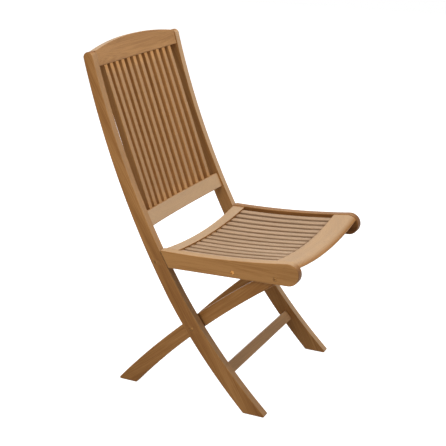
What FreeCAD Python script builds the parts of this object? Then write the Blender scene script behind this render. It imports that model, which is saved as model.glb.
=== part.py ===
# Folding teak side chair without arms: curved stiles that run down as front legs, crossed
# rear legs, a dished slatted seat and a pair of links hidden behind the seat rails.
# Millimetres, +Z up, the chair faces -Y, the origin is on the floor under the open chair.
import FreeCAD, Part
import math
import os
import Sketcher

# Driving dimensions, lengths in millimetres and angles in degrees
SIZES = {
    # Stiles
    "overall_width": 480,
    "origin_setback": 232.3,
    "stile_thickness": 24,
    "toe_lean_angle": 46.5,
    "lower_bow_radius": 1560,
    "lower_bow_length": 400,
    "upper_bow_radius": 2088,
    "upper_bow_length": 685.5,
    "foot_lead": 2.5,
    "knee_lead": 2.2,
    "shoulder_lead": 4.8,
    "top_lead": 2.8,
    "foot_depth": 48.5,
    "knee_depth": 44,
    "shoulder_depth": 35.8,
    "top_depth": 29,
    "top_round_height": 11.5,
    # Back
    "crest_below_top": 32,
    "crest_end_height": 42,
    "crest_arch": 20,
    "crest_thickness": 23.5,
    "crest_setback": 0.2,
    "crest_dish": 9.9,
    "back_rail_below_crest": 407,
    "back_rail_height": 43.6,
    "back_rail_thickness": 23.5,
    "back_rail_setback": 1.1,
    "back_rail_dish": 16.2,
    "back_slat_count": 12,
    "back_slat_side_gap": 32.7,
    "back_slat_width": 15,
    "back_slat_thickness": 22.4,
    "back_slat_inset": 0.8,
    "stretcher_station": 159.3,
    "stretcher_height": 30.5,
    "stretcher_thickness": 18,
    "stretcher_setback": 16.6,
    # Rear legs
    "crossing_station": 307.5,
    "crossing_inset": 24.5,
    "side_gap": 8,
    "rear_leg_thickness": 23,
    "rear_leg_rise": 4.3,
    "rear_leg_lean_angle": 49.31,
    "rear_leg_bow_radius": 2350,
    "rear_leg_reach": 307.8,
    "rear_leg_foot_width": 45,
    "rear_leg_top_width": 35,
    "rung_diameter": 20,
    "rung_distance": 50,
    "rung_offset": 6,
    # Seat
    "seat_tilt_angle": 1.4,
    "pivot_above_rail_bottom": 14.5,
    "nose_radius": 30.7,
    "nose_reach": 35,
    "nose_break_angle": 6.2,
    "seat_curve_radius": 2520,
    "rail_stile_gap": 1.2,
    "front_rail_inset": 3.3,
    "front_rail_width": 72.5,
    "front_rail_thickness": 17,
    "front_rail_drop": 1.5,
    "front_rail_dish": 18,
    "front_rail_rounding": 7,
    "rear_rail_inset": 1,
    "rear_rail_thickness": 18,
    "rear_rail_drop": 2,
    "rear_rail_dish": 13,
    "seat_slat_length": 287,
    "seat_slat_count": 13,
    "seat_slat_side_gap": 10.65,
    "seat_slat_width": 19.5,
    "seat_slat_thickness": 14,
    "seat_slat_drop": 6,
    "seat_slat_dish": 13,
    "batten_length": 340,
    "batten_width": 40,
    "batten_thickness": 12,
    # Links and fasteners
    "link_pin_inset": 24,
    "link_pin_drop": 3.1,
    "link_seat_distance": 122.3,
    "link_width": 18,
    "link_thickness": 4,
    "crossing_bolt_diameter": 8,
    "seat_bolt_diameter": 6,
    "link_pin_diameter": 6,
    "head_diameter": 11,
    "head_depth": 2.5,
    "nut_diameter": 14,
    "nut_height": 5,
    "spacer_diameter": 20,
    # Clearances
    "running_clearance": 0.05,
    "face_gap": 0.3,
    "shoulder_gap": 0.1,
}

doc = FreeCAD.newDocument("FoldingChair")
sheet = doc.addObject("Spreadsheet::Sheet", "Sizes")
for row, (alias, value) in enumerate(SIZES.items(), start=1):
    sheet.set(f"A{row}", alias)
    sheet.set(f"B{row}", str(value))
    sheet.setAlias(f"B{row}", alias)
doc.recompute()


def size(alias):
    return sheet.get(alias)


RIGHT = -1
LEFT = 1
SIDES = (("right", RIGHT), ("left", LEFT))
# A through hole is cut this many times deeper than its piece is thick
OVERCUT = 1.5
X_AXIS = FreeCAD.Vector(1, 0, 0)
Y_AXIS = FreeCAD.Vector(0, 1, 0)
Z_AXIS = FreeCAD.Vector(0, 0, 1)
sub_parts = []


# Side-view geometry, with every point a pair of y and z


class Bow:
    """A chain of tangent arcs walked by the length along it.

    Headings are radians from the rearward axis and grow along the chain. Offsets are
    square to it, to the right of the walking direction.
    """

    def __init__(self, start, heading, arcs):
        self.start = start
        self.heading = heading
        self.arcs = arcs

    def at(self, station):
        y, z = self.start
        heading = self.heading
        remaining = station
        for index, (radius, length) in enumerate(self.arcs):
            is_last = index == len(self.arcs) - 1
            step = remaining if is_last else min(remaining, length)
            turned = heading + step / radius
            y += radius * (math.sin(turned) - math.sin(heading))
            z -= radius * (math.cos(turned) - math.cos(heading))
            heading = turned
            remaining -= step
        return y, z, heading

    def point(self, station, offset=0.0):
        y, z, heading = self.at(station)
        return y + offset * math.sin(heading), z - offset * math.cos(heading)

    def pitch(self, station):
        """Turn about X, in degrees, that stands an upright piece along the bow."""
        return math.degrees(self.at(station)[2]) - 90


def turned(point, degrees):
    """The point turned about the origin, counterclockwise with y right and z up."""
    angle = math.radians(degrees)
    y, z = point
    return (y * math.cos(angle) - z * math.sin(angle),
            y * math.sin(angle) + z * math.cos(angle))


def zero_of(error, low, high):
    """The value between low and high where error changes sign."""
    rising = error(high) > 0
    for _ in range(60):
        middle = (low + high) / 2
        if (error(middle) > 0) == rising:
            high = middle
        else:
            low = middle
    return (low + high) / 2


def arc_radius(chord, rise):
    """Radius of the arc that rises this much over its chord."""
    return (chord ** 2 / 4 + rise ** 2) / (2 * rise)


def dish_depth(x, chord, dish):
    """Depth at x of an arc that is this deep at the middle of its chord."""
    radius = arc_radius(chord, dish)
    return dish - (radius - math.sqrt(radius ** 2 - x ** 2))


# Layout of the open chair, worked out from the driving dimensions

half_width = size("overall_width") / 2
stile_inner = half_width - size("stile_thickness")
leg_outer = stile_inner - size("side_gap")
leg_inner = leg_outer - size("rear_leg_thickness")

stile_bow = Bow((-size("origin_setback"), 0.0), math.radians(90 - size("toe_lean_angle")),
                [(size("lower_bow_radius"), size("lower_bow_length")),
                 (size("upper_bow_radius"), size("upper_bow_length"))])
knee_station = size("lower_bow_length")
top_station = knee_station + size("upper_bow_length")
shoulder_station = (knee_station + top_station) / 2
crest_station = top_station - size("crest_below_top")
back_rail_station = crest_station - size("back_rail_below_crest")


def along_stile(station, kind):
    """The stile's lead or depth: a straight taper to the knee, a parabola above it."""
    foot, knee, shoulder, top = (size(f"{place}_{kind}")
                                 for place in ("foot", "knee", "shoulder", "top"))
    if station < knee_station:
        return foot + station / knee_station * (knee - foot)
    share = (station - knee_station) / (top_station - knee_station)
    hollow = (knee + top) / 2 - shoulder
    return knee + share * (top - knee) - 4 * share * (1 - share) * hollow


def stile_front(station, ahead=0.0):
    """Point on the stile's front edge, which leads the bow, or this far ahead of it."""
    return stile_bow.point(station, -along_stile(station, "lead") - ahead)


def stile_rear(station):
    return stile_bow.point(station, along_stile(station, "depth") - along_stile(station, "lead"))


crossing = stile_bow.point(size("crossing_station"), size("crossing_inset"))

leg_reach = size("rear_leg_reach")
leg_heading = math.radians(90 + size("rear_leg_lean_angle"))
leg_middle = (crossing[0] + size("rear_leg_rise") * math.sin(leg_heading),
              crossing[1] - size("rear_leg_rise") * math.cos(leg_heading))
leg_bow = Bow(leg_middle, leg_heading, [(size("rear_leg_bow_radius"), leg_reach)])
seat_pivot = leg_bow.point(leg_reach)


def leg_half_width(station):
    """Half the rear leg's width, which tapers from the foot to the seat pivot."""
    share = (station + leg_reach) / (2 * leg_reach)
    foot = size("rear_leg_foot_width")
    return (foot + share * (size("rear_leg_top_width") - foot)) / 2


# The seat frame: origin at the seat pivot, rearwards along the bottom edge of the rails


def on_chair(rearward, upward):
    """Side-view point of the chair for a point of the seat frame."""
    y, z = turned((rearward, upward), -size("seat_tilt_angle"))
    return seat_pivot[0] + y, seat_pivot[1] + z


def on_seat(point):
    """Point of the seat frame for a side-view point of the chair."""
    return turned((point[0] - seat_pivot[0], point[1] - seat_pivot[1]), size("seat_tilt_angle"))


rail_bottom = -size("pivot_above_rail_bottom")
nose_centre = (-size("nose_reach"), rail_bottom + size("nose_radius"))
seat_radius = size("seat_curve_radius")
nose_break = math.radians(size("nose_break_angle"))
curve_centre = (nose_centre[0] + (seat_radius + size("nose_radius")) * math.sin(nose_break),
                nose_centre[1] + (seat_radius + size("nose_radius")) * math.cos(nose_break))


def on_curve(rearward, drop=0.0):
    """Point of the seat frame on the line square to the seat curve, this far below it."""
    slope = math.asin((rearward - curve_centre[0]) / seat_radius)
    return (curve_centre[0] + (seat_radius + drop) * math.sin(slope),
            curve_centre[1] - (seat_radius + drop) * math.cos(slope))


def curve_slope(rearward):
    """Slope of the seat curve in the seat frame, in degrees."""
    return math.degrees(math.asin((rearward - curve_centre[0]) / seat_radius))


def beside_stile(station):
    """Point of the seat frame at the side rails' gap in front of the stiles."""
    return on_seat(stile_front(station, size("rail_stile_gap")))


# Sloping rear ends of the side rails, from their lower edge up to the seat curve
low_end_station = zero_of(lambda station: beside_stile(station)[1] - rail_bottom, 0, top_station)
high_end_station = zero_of(
    lambda station: beside_stile(station)[1] - on_curve(beside_stile(station)[0])[1],
    low_end_station, top_station)
rail_end_low = beside_stile(low_end_station)
rail_end_high = beside_stile(high_end_station)


front_rail_rear = (nose_centre[0] - size("nose_radius") + size("front_rail_inset")
                   + size("front_rail_width"))
rear_rail_front = front_rail_rear + size("seat_slat_length")
slats_middle = (front_rail_rear + rear_rail_front) / 2
link_seat_point = on_chair(size("link_seat_distance"), 0.0)


def link_pin_at(station):
    return stile_bow.point(station, size("link_pin_inset"))


link_pin_station = zero_of(
    lambda station: on_seat(link_pin_at(station))[1] + size("link_pin_drop"),
    knee_station, top_station)
link_pin = link_pin_at(link_pin_station)

# Faces across the gap between stile and rear leg, where the links lie
collar_height = (size("side_gap") - size("link_thickness")) / 2 - size("face_gap")
link_outer = stile_inner - collar_height - size("face_gap")
link_inner = link_outer - size("link_thickness")
rivet_inner = leg_outer + size("face_gap")


def share_across(number, count):
    """Place of a slat in its row, from -1 at the right to 1 at the left."""
    return 2 * (number - 1) / (count - 1) - 1


# Building blocks


def new_body(label, x, point, pitch=0.0):
    """A body whose origin is at x and the side-view point, turned about X by the pitch."""
    body = doc.addObject("PartDesign::Body", label)
    body.Label = label
    body.Placement = FreeCAD.Placement(FreeCAD.Vector(x, *point),
                                       FreeCAD.Rotation(X_AXIS, pitch))
    sub_parts.append(body)
    return body


def new_sketch(body, role, offset=None):
    """A sketch on one of the body's origin planes, moved out by an expression."""
    sketch = body.newObject("Sketcher::SketchObject", "Sketch")
    plane = next(item for item in body.Origin.OriginFeatures if item.Role == role)
    sketch.AttachmentSupport = [(plane, "")]
    sketch.MapMode = "FlatFace"
    if offset:
        sketch.setExpression("AttachmentOffset.Base.z", offset)
    return sketch


def arc_between(start, bulge, end):
    """Sketch arc through three points, and whether it runs clockwise."""
    points = [FreeCAD.Vector(*point, 0) for point in (start, bulge, end)]
    chord = points[2] - points[0]
    clockwise = chord.cross(points[1] - points[0]).z > 0
    curve = Part.Arc(*points).toShape().Curve
    centre = curve.Center
    angles = [math.atan2(point.y - centre.y, point.x - centre.x)
              for point in (points[0], points[2])]
    if clockwise:
        angles.reverse()
    if angles[1] < angles[0]:
        angles[1] += 2 * math.pi
    circle = Part.Circle(centre, Z_AXIS, curve.Radius)
    return Part.ArcOfCircle(circle, *angles), clockwise


def draw_outline(sketch, corners):
    """Closed outline: each corner is a point and the bulge of the edge that leaves it.

    The bulge is a point on an arc, or None for a straight edge.
    """
    edges = []
    for index, (start, bulge) in enumerate(corners):
        end = corners[(index + 1) % len(corners)][0]
        if bulge is None:
            curve = Part.LineSegment(FreeCAD.Vector(*start, 0), FreeCAD.Vector(*end, 0))
            clockwise = False
        else:
            curve, clockwise = arc_between(start, bulge, end)
        edge = sketch.addGeometry(curve, False)
        first, last = (2, 1) if clockwise else (1, 2)
        edges.append((edge, first, last))
        sketch.addConstraint(Sketcher.Constraint("DistanceX", edge, first, start[0]))
        sketch.addConstraint(Sketcher.Constraint("DistanceY", edge, first, start[1]))
        if bulge is not None:
            upright = abs(end[1] - start[1]) > abs(end[0] - start[0])
            kind = "DistanceX" if upright else "DistanceY"
            place = curve.Center.x if upright else curve.Center.y
            sketch.addConstraint(Sketcher.Constraint(kind, edge, 3, place))
    for index, (edge, _, last) in enumerate(edges):
        following, first, _ = edges[(index + 1) % len(edges)]
        sketch.addConstraint(Sketcher.Constraint("Coincident", edge, last, following, first))


def draw_circle(sketch, point, diameter):
    """Circle whose radius follows an expression for its diameter."""
    circle = Part.Circle(FreeCAD.Vector(*point, 0), Z_AXIS, 1)
    index = sketch.addGeometry(circle, False)
    sketch.addConstraint(Sketcher.Constraint("DistanceX", index, 3, point[0]))
    sketch.addConstraint(Sketcher.Constraint("DistanceY", index, 3, point[1]))
    radius = sketch.addConstraint(Sketcher.Constraint("Radius", index, 1))
    sketch.setExpression(f"Constraints[{radius}]", f"({diameter}) / 2")


def pad(body, sketch, length, backwards=False, centred=False):
    feature = body.newObject("PartDesign::Pad", "Pad")
    feature.Profile = sketch
    feature.setExpression("Length", length)
    feature.Reversed = backwards
    feature.Midplane = centred
    return feature


def cut_through(body, sketch, length):
    """Cut half the length to each side of the sketch."""
    feature = body.newObject("PartDesign::Pocket", "Cut")
    feature.Profile = sketch
    feature.setExpression("Length", length)
    feature.Midplane = True


def bore(body, side, outer_face, point, diameter, depth):
    """Round hole cut inwards from the outer face of a piece that was padded outwards."""
    offset = outer_face if side == LEFT else f"-({outer_face})"
    sketch = new_sketch(body, "YZ_Plane", offset)
    draw_circle(sketch, point, diameter)
    feature = body.newObject("PartDesign::Pocket", "Bore")
    feature.Profile = sketch
    feature.setExpression("Length", depth)
    feature.Reversed = side == RIGHT
    return feature


def stepped_hole(body, side, thickness, point, diameter):
    """Through hole with a recess for the bolt head in the outer face."""
    bore(body, side, thickness, point,
         f"{diameter} + 2 * Sizes.running_clearance", f"{thickness} * {OVERCUT}")
    bore(body, side, thickness, point,
         "Sizes.head_diameter + 2 * Sizes.face_gap", "Sizes.head_depth + Sizes.face_gap")


def turned_piece(point, steps, side):
    """Solid of revolution along X: steps are runs of outer face x, inner face x, diameter."""
    solids = []
    for outer, inner, diameter in steps:
        base = FreeCAD.Vector(side * inner, *point)
        solids.append(Part.makeCylinder(diameter / 2, outer - inner, base, X_AXIS * side))
    return solids[0].multiFuse(solids[1:]).removeSplitter()


def fastener_group(label, solids):
    """Matching fasteners of both sides, kept together as separate solids."""
    feature = doc.addObject("Part::Feature", label)
    feature.Label = label
    feature.Shape = Part.makeCompound(solids)
    sub_parts.append(feature)
    return feature


# Back frame


def stile(name, side):
    label = f"stile_{name}"
    body = new_body(label, side * stile_inner, (0, 0))
    body.setExpression("Placement.Base.x",
                       f"{side} * (Sizes.overall_width / 2 - Sizes.stile_thickness)")
    front_toe = zero_of(lambda station: stile_front(station)[1], -knee_station, knee_station)
    rear_toe = zero_of(lambda station: stile_rear(station)[1], 0, knee_station)
    tip = stile_bow.point(top_station + size("top_round_height"),
                          size("top_depth") / 2 - size("top_lead"))
    corners = [
        (stile_front(front_toe), stile_front((knee_station + front_toe) / 2)),
        (stile_front(knee_station), stile_front(shoulder_station)),
        (stile_front(top_station), tip),
        (stile_rear(top_station), stile_rear(shoulder_station)),
        (stile_rear(knee_station), stile_rear((knee_station + rear_toe) / 2)),
        (stile_rear(rear_toe), None),
    ]
    sketch = new_sketch(body, "YZ_Plane")
    draw_outline(sketch, corners)
    pad(body, sketch, "Sizes.stile_thickness", backwards=side == RIGHT)
    stepped_hole(body, side, "Sizes.stile_thickness", crossing,
                 "Sizes.crossing_bolt_diameter")
    stepped_hole(body, side, "Sizes.stile_thickness", link_pin, "Sizes.link_pin_diameter")


def front_face(prefix, x):
    """Setback at x of the hollow front face of a curved rail."""
    return size(f"{prefix}_setback") + dish_depth(x, 2 * stile_inner, size(f"{prefix}_dish"))


def bent_board(label, station, prefix):
    """Body and plan sketch of a board that bows rearwards between the stiles."""
    body = new_body(label, 0, stile_bow.point(station), stile_bow.pitch(station))
    front = size(f"{prefix}_setback")
    rear = front + size(f"{prefix}_thickness")
    dish = size(f"{prefix}_dish")
    corners = [
        ((-stile_inner, front), (0, front + dish)),
        ((stile_inner, front), None),
        ((stile_inner, rear), (0, rear + dish)),
        ((-stile_inner, rear), None),
    ]
    sketch = new_sketch(body, "XY_Plane")
    draw_outline(sketch, corners)
    return body, sketch


def crest_rail():
    """Crest rail with a straight lower edge, and an upper edge cut to an arch."""
    body, sketch = bent_board("crest_rail", crest_station, "crest")
    pad(body, sketch, f"(Sizes.crest_end_height + Sizes.crest_arch) * {OVERCUT}")
    shoulder = size("crest_end_height")
    summit = shoulder + size("crest_arch")
    corners = [
        ((-stile_inner, shoulder), (0, summit)),
        ((stile_inner, shoulder), None),
        ((stile_inner, summit * OVERCUT), None),
        ((-stile_inner, summit * OVERCUT), None),
    ]
    arch = new_sketch(body, "XZ_Plane")
    draw_outline(arch, corners)
    cut_through(body, arch, "2 * (Sizes.crest_setback + Sizes.crest_dish"
                            f" + Sizes.crest_thickness) * {OVERCUT}")


def lower_back_rail():
    """Rail curved in plan like the crest rail, its upper edge at the rail station."""
    body, sketch = bent_board("lower_back_rail", back_rail_station, "back_rail")
    pad(body, sketch, "Sizes.back_rail_height", backwards=True)


def front_stretcher():
    """Flat board between the stiles, square to the bow, half above its station."""
    board = doc.addObject("Part::Box", "front_stretcher")
    board.Label = "front_stretcher"
    board.setExpression("Length", "Sizes.overall_width - 2 * Sizes.stile_thickness")
    board.setExpression("Width", "Sizes.stretcher_thickness")
    board.setExpression("Height", "Sizes.stretcher_height")
    station = size("stretcher_station")
    setback = size("stretcher_setback")
    lift = -size("stretcher_height") / 2
    y, z, heading = stile_bow.at(station)
    corner = FreeCAD.Vector(-stile_inner,
                            y + setback * math.sin(heading) + lift * math.cos(heading),
                            z - setback * math.cos(heading) + lift * math.sin(heading))
    board.Placement = FreeCAD.Placement(
        corner, FreeCAD.Rotation(X_AXIS, stile_bow.pitch(station)))
    sub_parts.append(board)


def back_slat(number):
    """Straight slat set into the hollow faces of the two curved rails."""
    count = int(size("back_slat_count"))
    body = new_body(f"back_slat_{number:02d}", 0, (0, 0))
    body.setExpression("Placement.Base.x",
                       f"{share_across(number, count)} * (Sizes.overall_width / 2"
                       " - Sizes.stile_thickness - Sizes.back_slat_side_gap"
                       " - Sizes.back_slat_width / 2)")
    x = share_across(number, count) * (stile_inner - size("back_slat_side_gap")
                                       - size("back_slat_width") / 2)
    low = back_rail_station + size("shoulder_gap")
    high = crest_station - size("shoulder_gap")
    low_front = front_face("back_rail", x) + size("back_slat_inset")
    high_front = front_face("crest", x) + size("back_slat_inset")
    thickness = size("back_slat_thickness")
    corners = [
        (stile_bow.point(low, low_front), None),
        (stile_bow.point(high, high_front), None),
        (stile_bow.point(high, high_front + thickness), None),
        (stile_bow.point(low, low_front + thickness), None),
    ]
    sketch = new_sketch(body, "YZ_Plane")
    draw_outline(sketch, corners)
    pad(body, sketch, "Sizes.back_slat_width", centred=True)


def back_fasteners():
    """Crossing bolts, the spacers behind them and the link pins."""
    gap = size("face_gap")
    head = size("head_diameter")
    head_inner = half_width - size("head_depth")
    bolt = size("crossing_bolt_diameter")
    nut_outer = leg_inner - gap
    nut_inner = nut_outer - size("nut_height")
    pin = size("link_pin_diameter")
    fastener_group("crossing_bolts", [
        turned_piece(crossing, [(half_width, head_inner, head),
                                (half_width, nut_inner, bolt),
                                (nut_outer, nut_inner, size("nut_diameter"))], side)
        for _, side in SIDES])
    hole = bolt + 2 * size("running_clearance")
    fastener_group("crossing_spacers", [
        ring(crossing, stile_inner, leg_outer + gap, size("spacer_diameter"), hole, side)
        for _, side in SIDES])
    collar_inner = stile_inner - collar_height
    rivet_outer = link_inner - gap
    fastener_group("link_pins", [
        turned_piece(link_pin, [(half_width, head_inner, head),
                                (half_width, rivet_inner, pin),
                                (stile_inner, collar_inner, head),
                                (rivet_outer, rivet_inner, head)], side)
        for _, side in SIDES])


def ring(point, outer, inner, diameter, hole, side):
    """Spacer ring along X between two face distances from the middle."""
    base = FreeCAD.Vector(side * inner, *point)
    solid = Part.makeCylinder(diameter / 2, outer - inner, base, X_AXIS * side)
    return solid.cut(Part.makeCylinder(hole / 2, outer - inner, base, X_AXIS * side))


# Rear legs


def rear_leg(name, side):
    body = new_body(f"rear_leg_{name}", side * leg_inner, (0, 0))
    body.setExpression("Placement.Base.x",
                       f"{side} * (Sizes.overall_width / 2 - Sizes.stile_thickness"
                       " - Sizes.side_gap - Sizes.rear_leg_thickness)")

    def upper(station):
        return leg_bow.point(station, leg_half_width(station))

    def lower(station):
        return leg_bow.point(station, -leg_half_width(station))

    floor_limit = -2 * leg_reach
    rear_sole = zero_of(lambda station: upper(station)[1], floor_limit, 0)
    front_sole = zero_of(lambda station: lower(station)[1], floor_limit, 0)
    tip = leg_bow.point(leg_reach + leg_half_width(leg_reach))
    corners = [
        (upper(rear_sole), upper(rear_sole / 2 + leg_reach / 2)),
        (upper(leg_reach), tip),
        (lower(leg_reach), lower(front_sole / 2 + leg_reach / 2)),
        (lower(front_sole), None),
    ]
    sketch = new_sketch(body, "YZ_Plane")
    draw_outline(sketch, corners)
    pad(body, sketch, "Sizes.rear_leg_thickness", backwards=side == RIGHT)
    through = f"Sizes.rear_leg_thickness * {OVERCUT}"
    bore(body, side, "Sizes.rear_leg_thickness", crossing,
         "Sizes.crossing_bolt_diameter + 2 * Sizes.running_clearance", through)
    bore(body, side, "Sizes.rear_leg_thickness", seat_pivot,
         "Sizes.seat_bolt_diameter + 2 * Sizes.running_clearance", through)


def rear_leg_rung():
    """Dowel between the rear legs, just below the seat pivot."""
    rung = doc.addObject("Part::Cylinder", "rear_leg_rung")
    rung.Label = "rear_leg_rung"
    rung.setExpression("Radius", "Sizes.rung_diameter / 2")
    rung.setExpression("Height", "Sizes.overall_width - 2 * (Sizes.stile_thickness"
                                 " + Sizes.side_gap + Sizes.rear_leg_thickness)")
    y, z = leg_bow.point(leg_reach - size("rung_distance"), size("rung_offset"))
    rung.Placement = FreeCAD.Placement(FreeCAD.Vector(-leg_inner, y, z),
                                       FreeCAD.Rotation(Y_AXIS, 90))
    sub_parts.append(rung)


def seat_pivot_fasteners():
    gap = size("face_gap")
    bolt = size("seat_bolt_diameter")
    head_inner = half_width - size("head_depth")
    nut_inner = leg_inner - size("nut_height")
    fastener_group("seat_pivot_bolts", [
        turned_piece(seat_pivot, [(half_width, head_inner, size("head_diameter")),
                                  (half_width, nut_inner, bolt),
                                  (leg_inner, nut_inner, size("nut_diameter"))], side)
        for _, side in SIDES])
    hole = bolt + 2 * size("running_clearance")
    fastener_group("seat_pivot_spacers", [
        ring(seat_pivot, stile_inner - gap, leg_outer, size("spacer_diameter"), hole, side)
        for _, side in SIDES])


# Seat


def seat_side_rail(name, side):
    body = new_body(f"seat_side_rail_{name}", side * stile_inner, seat_pivot,
                    -size("seat_tilt_angle"))
    body.setExpression("Placement.Base.x",
                       f"{side} * (Sizes.overall_width / 2 - Sizes.stile_thickness)")
    radius = size("nose_radius")
    nose_top = (nose_centre[0] + radius * math.sin(nose_break),
                nose_centre[1] + radius * math.cos(nose_break))
    corners = [
        ((nose_centre[0], rail_bottom), None),
        (rail_end_low, None),
        (rail_end_high, on_curve((rail_end_high[0] + nose_top[0]) / 2)),
        (nose_top, (nose_centre[0] - radius, nose_centre[1])),
    ]
    sketch = new_sketch(body, "YZ_Plane")
    draw_outline(sketch, corners)
    pad(body, sketch, "Sizes.stile_thickness", backwards=side == RIGHT)
    stepped_hole(body, side, "Sizes.stile_thickness", (0, 0), "Sizes.seat_bolt_diameter")
    stepped_hole(body, side, "Sizes.stile_thickness", (size("link_seat_distance"), 0),
                 "Sizes.link_pin_diameter")


def dished_board(label, rearward, half_span, shape, width, forward):
    """Board across the seat whose top and bottom are arcs.

    The shape is the drop of the dish's rim below the seat curve, its depth at the middle
    over the full span between the side rails, and the thickness.
    """
    rim_drop, dish, thickness = shape
    body = new_body(label, 0, on_chair(*on_curve(rearward)),
                    curve_slope(rearward) - size("seat_tilt_angle"))

    def drop(x):
        return rim_drop + dish_depth(x, 2 * stile_inner, dish)

    corners = [
        ((-half_span, -drop(half_span) - thickness), (0, -drop(0) - thickness)),
        ((half_span, -drop(half_span) - thickness), None),
        ((half_span, -drop(half_span)), (0, -drop(0))),
        ((-half_span, -drop(half_span)), None),
    ]
    sketch = new_sketch(body, "XZ_Plane")
    draw_outline(sketch, corners)
    return body, pad(body, sketch, width, backwards=not forward)


def front_seat_rail():
    shape = (size("front_rail_drop"), size("front_rail_dish"), size("front_rail_thickness"))
    body, board = dished_board("front_seat_rail", front_rail_rear, stile_inner, shape,
                               "Sizes.front_rail_width", forward=True)
    doc.recompute()
    front = -size("front_rail_width")
    names = [f"Edge{index}" for index, edge in enumerate(board.Shape.Edges, start=1)
             if abs(edge.BoundBox.Center.y - front) < 1 and edge.BoundBox.XLength > stile_inner]
    rounding = body.newObject("PartDesign::Fillet", "Rounding")
    rounding.Base = (board, names)
    rounding.setExpression("Radius", "Sizes.front_rail_rounding")


def rear_seat_rail():
    """Rail that runs back to the side rails' ends and slopes with them."""
    shape = (size("rear_rail_drop"), size("rear_rail_dish"), size("rear_rail_thickness"))
    reach = rail_end_high[0] - rear_rail_front
    body, _ = dished_board("rear_seat_rail", rear_rail_front, stile_inner, shape,
                           str(reach), forward=False)
    origin = on_curve(rear_rail_front)
    corners = []
    for end, beyond in ((rail_end_low, 0), (rail_end_low, reach), (rail_end_high, reach),
                        (rail_end_high, 0)):
        rearward = end[0] - size("rear_rail_inset") + beyond - origin[0]
        corners.append((turned((rearward, end[1] - origin[1]), -curve_slope(rear_rail_front)),
                        None))
    slope = new_sketch(body, "YZ_Plane")
    draw_outline(slope, corners)
    cut_through(body, slope, "2 * (Sizes.overall_width - 2 * Sizes.stile_thickness)")


def seat_support_batten():
    """Batten screwed up against the seat slats, half-way along them."""
    below_slats = size("seat_slat_drop") + size("seat_slat_thickness") + size("face_gap")
    shape = (below_slats, size("seat_slat_dish"), size("batten_thickness"))
    dished_board("seat_support_batten", slats_middle, size("batten_length") / 2, shape,
                 "Sizes.batten_width", forward=False)


def seat_slat(number):
    """Slat along the seat, sunk and tipped with the dish."""
    count = int(size("seat_slat_count"))
    dish = size("seat_slat_dish")
    radius = arc_radius(2 * stile_inner, dish)
    outermost = stile_inner - size("seat_slat_side_gap") - size("seat_slat_width") / 2
    x = share_across(number, count) * outermost
    lean = math.degrees(math.asin(x / radius))
    drop = size("seat_slat_drop") + dish_depth(x, 2 * stile_inner, dish)
    low = front_rail_rear
    high = rear_rail_front
    middle = (low + high) / 2
    centre_drop = drop + size("seat_slat_thickness") / 2
    pivot = on_curve(middle, centre_drop)
    body = new_body(f"seat_slat_{number:02d}", x, on_chair(*pivot))
    body.Placement.Rotation = (FreeCAD.Rotation(X_AXIS, -size("seat_tilt_angle"))
                               * FreeCAD.Rotation(Y_AXIS, -lean))

    def local(rearward, below):
        point = on_curve(rearward, below)
        return point[0] - pivot[0], point[1] - pivot[1]

    bottom = drop + size("seat_slat_thickness")
    gap = size("shoulder_gap")
    corners = [
        (local(low + gap, bottom), local(middle, bottom)),
        (local(high - gap, bottom), None),
        (local(high - gap, drop), local(middle, drop)),
        (local(low + gap, drop), None),
    ]
    sketch = new_sketch(body, "YZ_Plane")
    draw_outline(sketch, corners)
    pad(body, sketch, "Sizes.seat_slat_width", centred=True)


def rail_plugs():
    """Plugs in the side rails, opposite the studs at the front ends of the links."""
    head_inner = half_width - size("head_depth")
    fastener_group("rail_plugs", [
        turned_piece(link_seat_point, [(half_width, head_inner, size("head_diameter")),
                                       (half_width, stile_inner, size("link_pin_diameter"))],
                     side)
        for _, side in SIDES])


# Links: flat bars in the gap between the side rails and the rear legs


def link(name, side):
    """Bar with rounded ends, bored for its pin on the stile, with a stud at the seat end."""
    span_y = link_seat_point[0] - link_pin[0]
    span_z = link_seat_point[1] - link_pin[1]
    length = math.hypot(span_y, span_z)
    body = new_body(f"link_{name}", side * link_inner, link_pin,
                    math.degrees(math.atan2(span_z, span_y)))
    radius = size("link_width") / 2
    corners = [
        ((0, -radius), None),
        ((length, -radius), (length + radius, 0)),
        ((length, radius), None),
        ((0, radius), (-radius, 0)),
    ]
    sketch = new_sketch(body, "YZ_Plane")
    draw_outline(sketch, corners)
    pad(body, sketch, "Sizes.link_thickness", backwards=side == RIGHT)
    bore(body, side, "Sizes.link_thickness", (0, 0),
         "Sizes.link_pin_diameter + 2 * Sizes.running_clearance",
         f"Sizes.link_thickness * {OVERCUT}")
    stud = new_sketch(body, "YZ_Plane")
    draw_circle(stud, (length, 0), "Sizes.head_diameter")
    pad(body, stud, "(Sizes.side_gap + Sizes.link_thickness) / 2 - Sizes.face_gap",
        backwards=side == RIGHT)


for side_name, side_sign in SIDES:
    stile(side_name, side_sign)
crest_rail()
lower_back_rail()
front_stretcher()
for slat_number in range(1, int(size("back_slat_count")) + 1):
    back_slat(slat_number)
back_fasteners()

for side_name, side_sign in SIDES:
    rear_leg(side_name, side_sign)
rear_leg_rung()
seat_pivot_fasteners()

for side_name, side_sign in SIDES:
    seat_side_rail(side_name, side_sign)
front_seat_rail()
rear_seat_rail()
seat_support_batten()
for slat_number in range(1, int(size("seat_slat_count")) + 1):
    seat_slat(slat_number)
rail_plugs()

for side_name, side_sign in SIDES:
    link(side_name, side_sign)

# Checks before anything is written
doc.recompute()
for item in doc.Objects:
    if "Invalid" in item.State or "Error" in item.State:
        raise RuntimeError(f"{item.Label} failed: {item.State}")
for item in sub_parts:
    if item.Shape.isNull() or not item.Shape.isValid():
        raise RuntimeError(f"{item.Label} has no valid shape")

os.makedirs("parts", exist_ok=True)
for item in sub_parts:
    item.Shape.exportStep(f"parts/{item.Label}.step")
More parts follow.
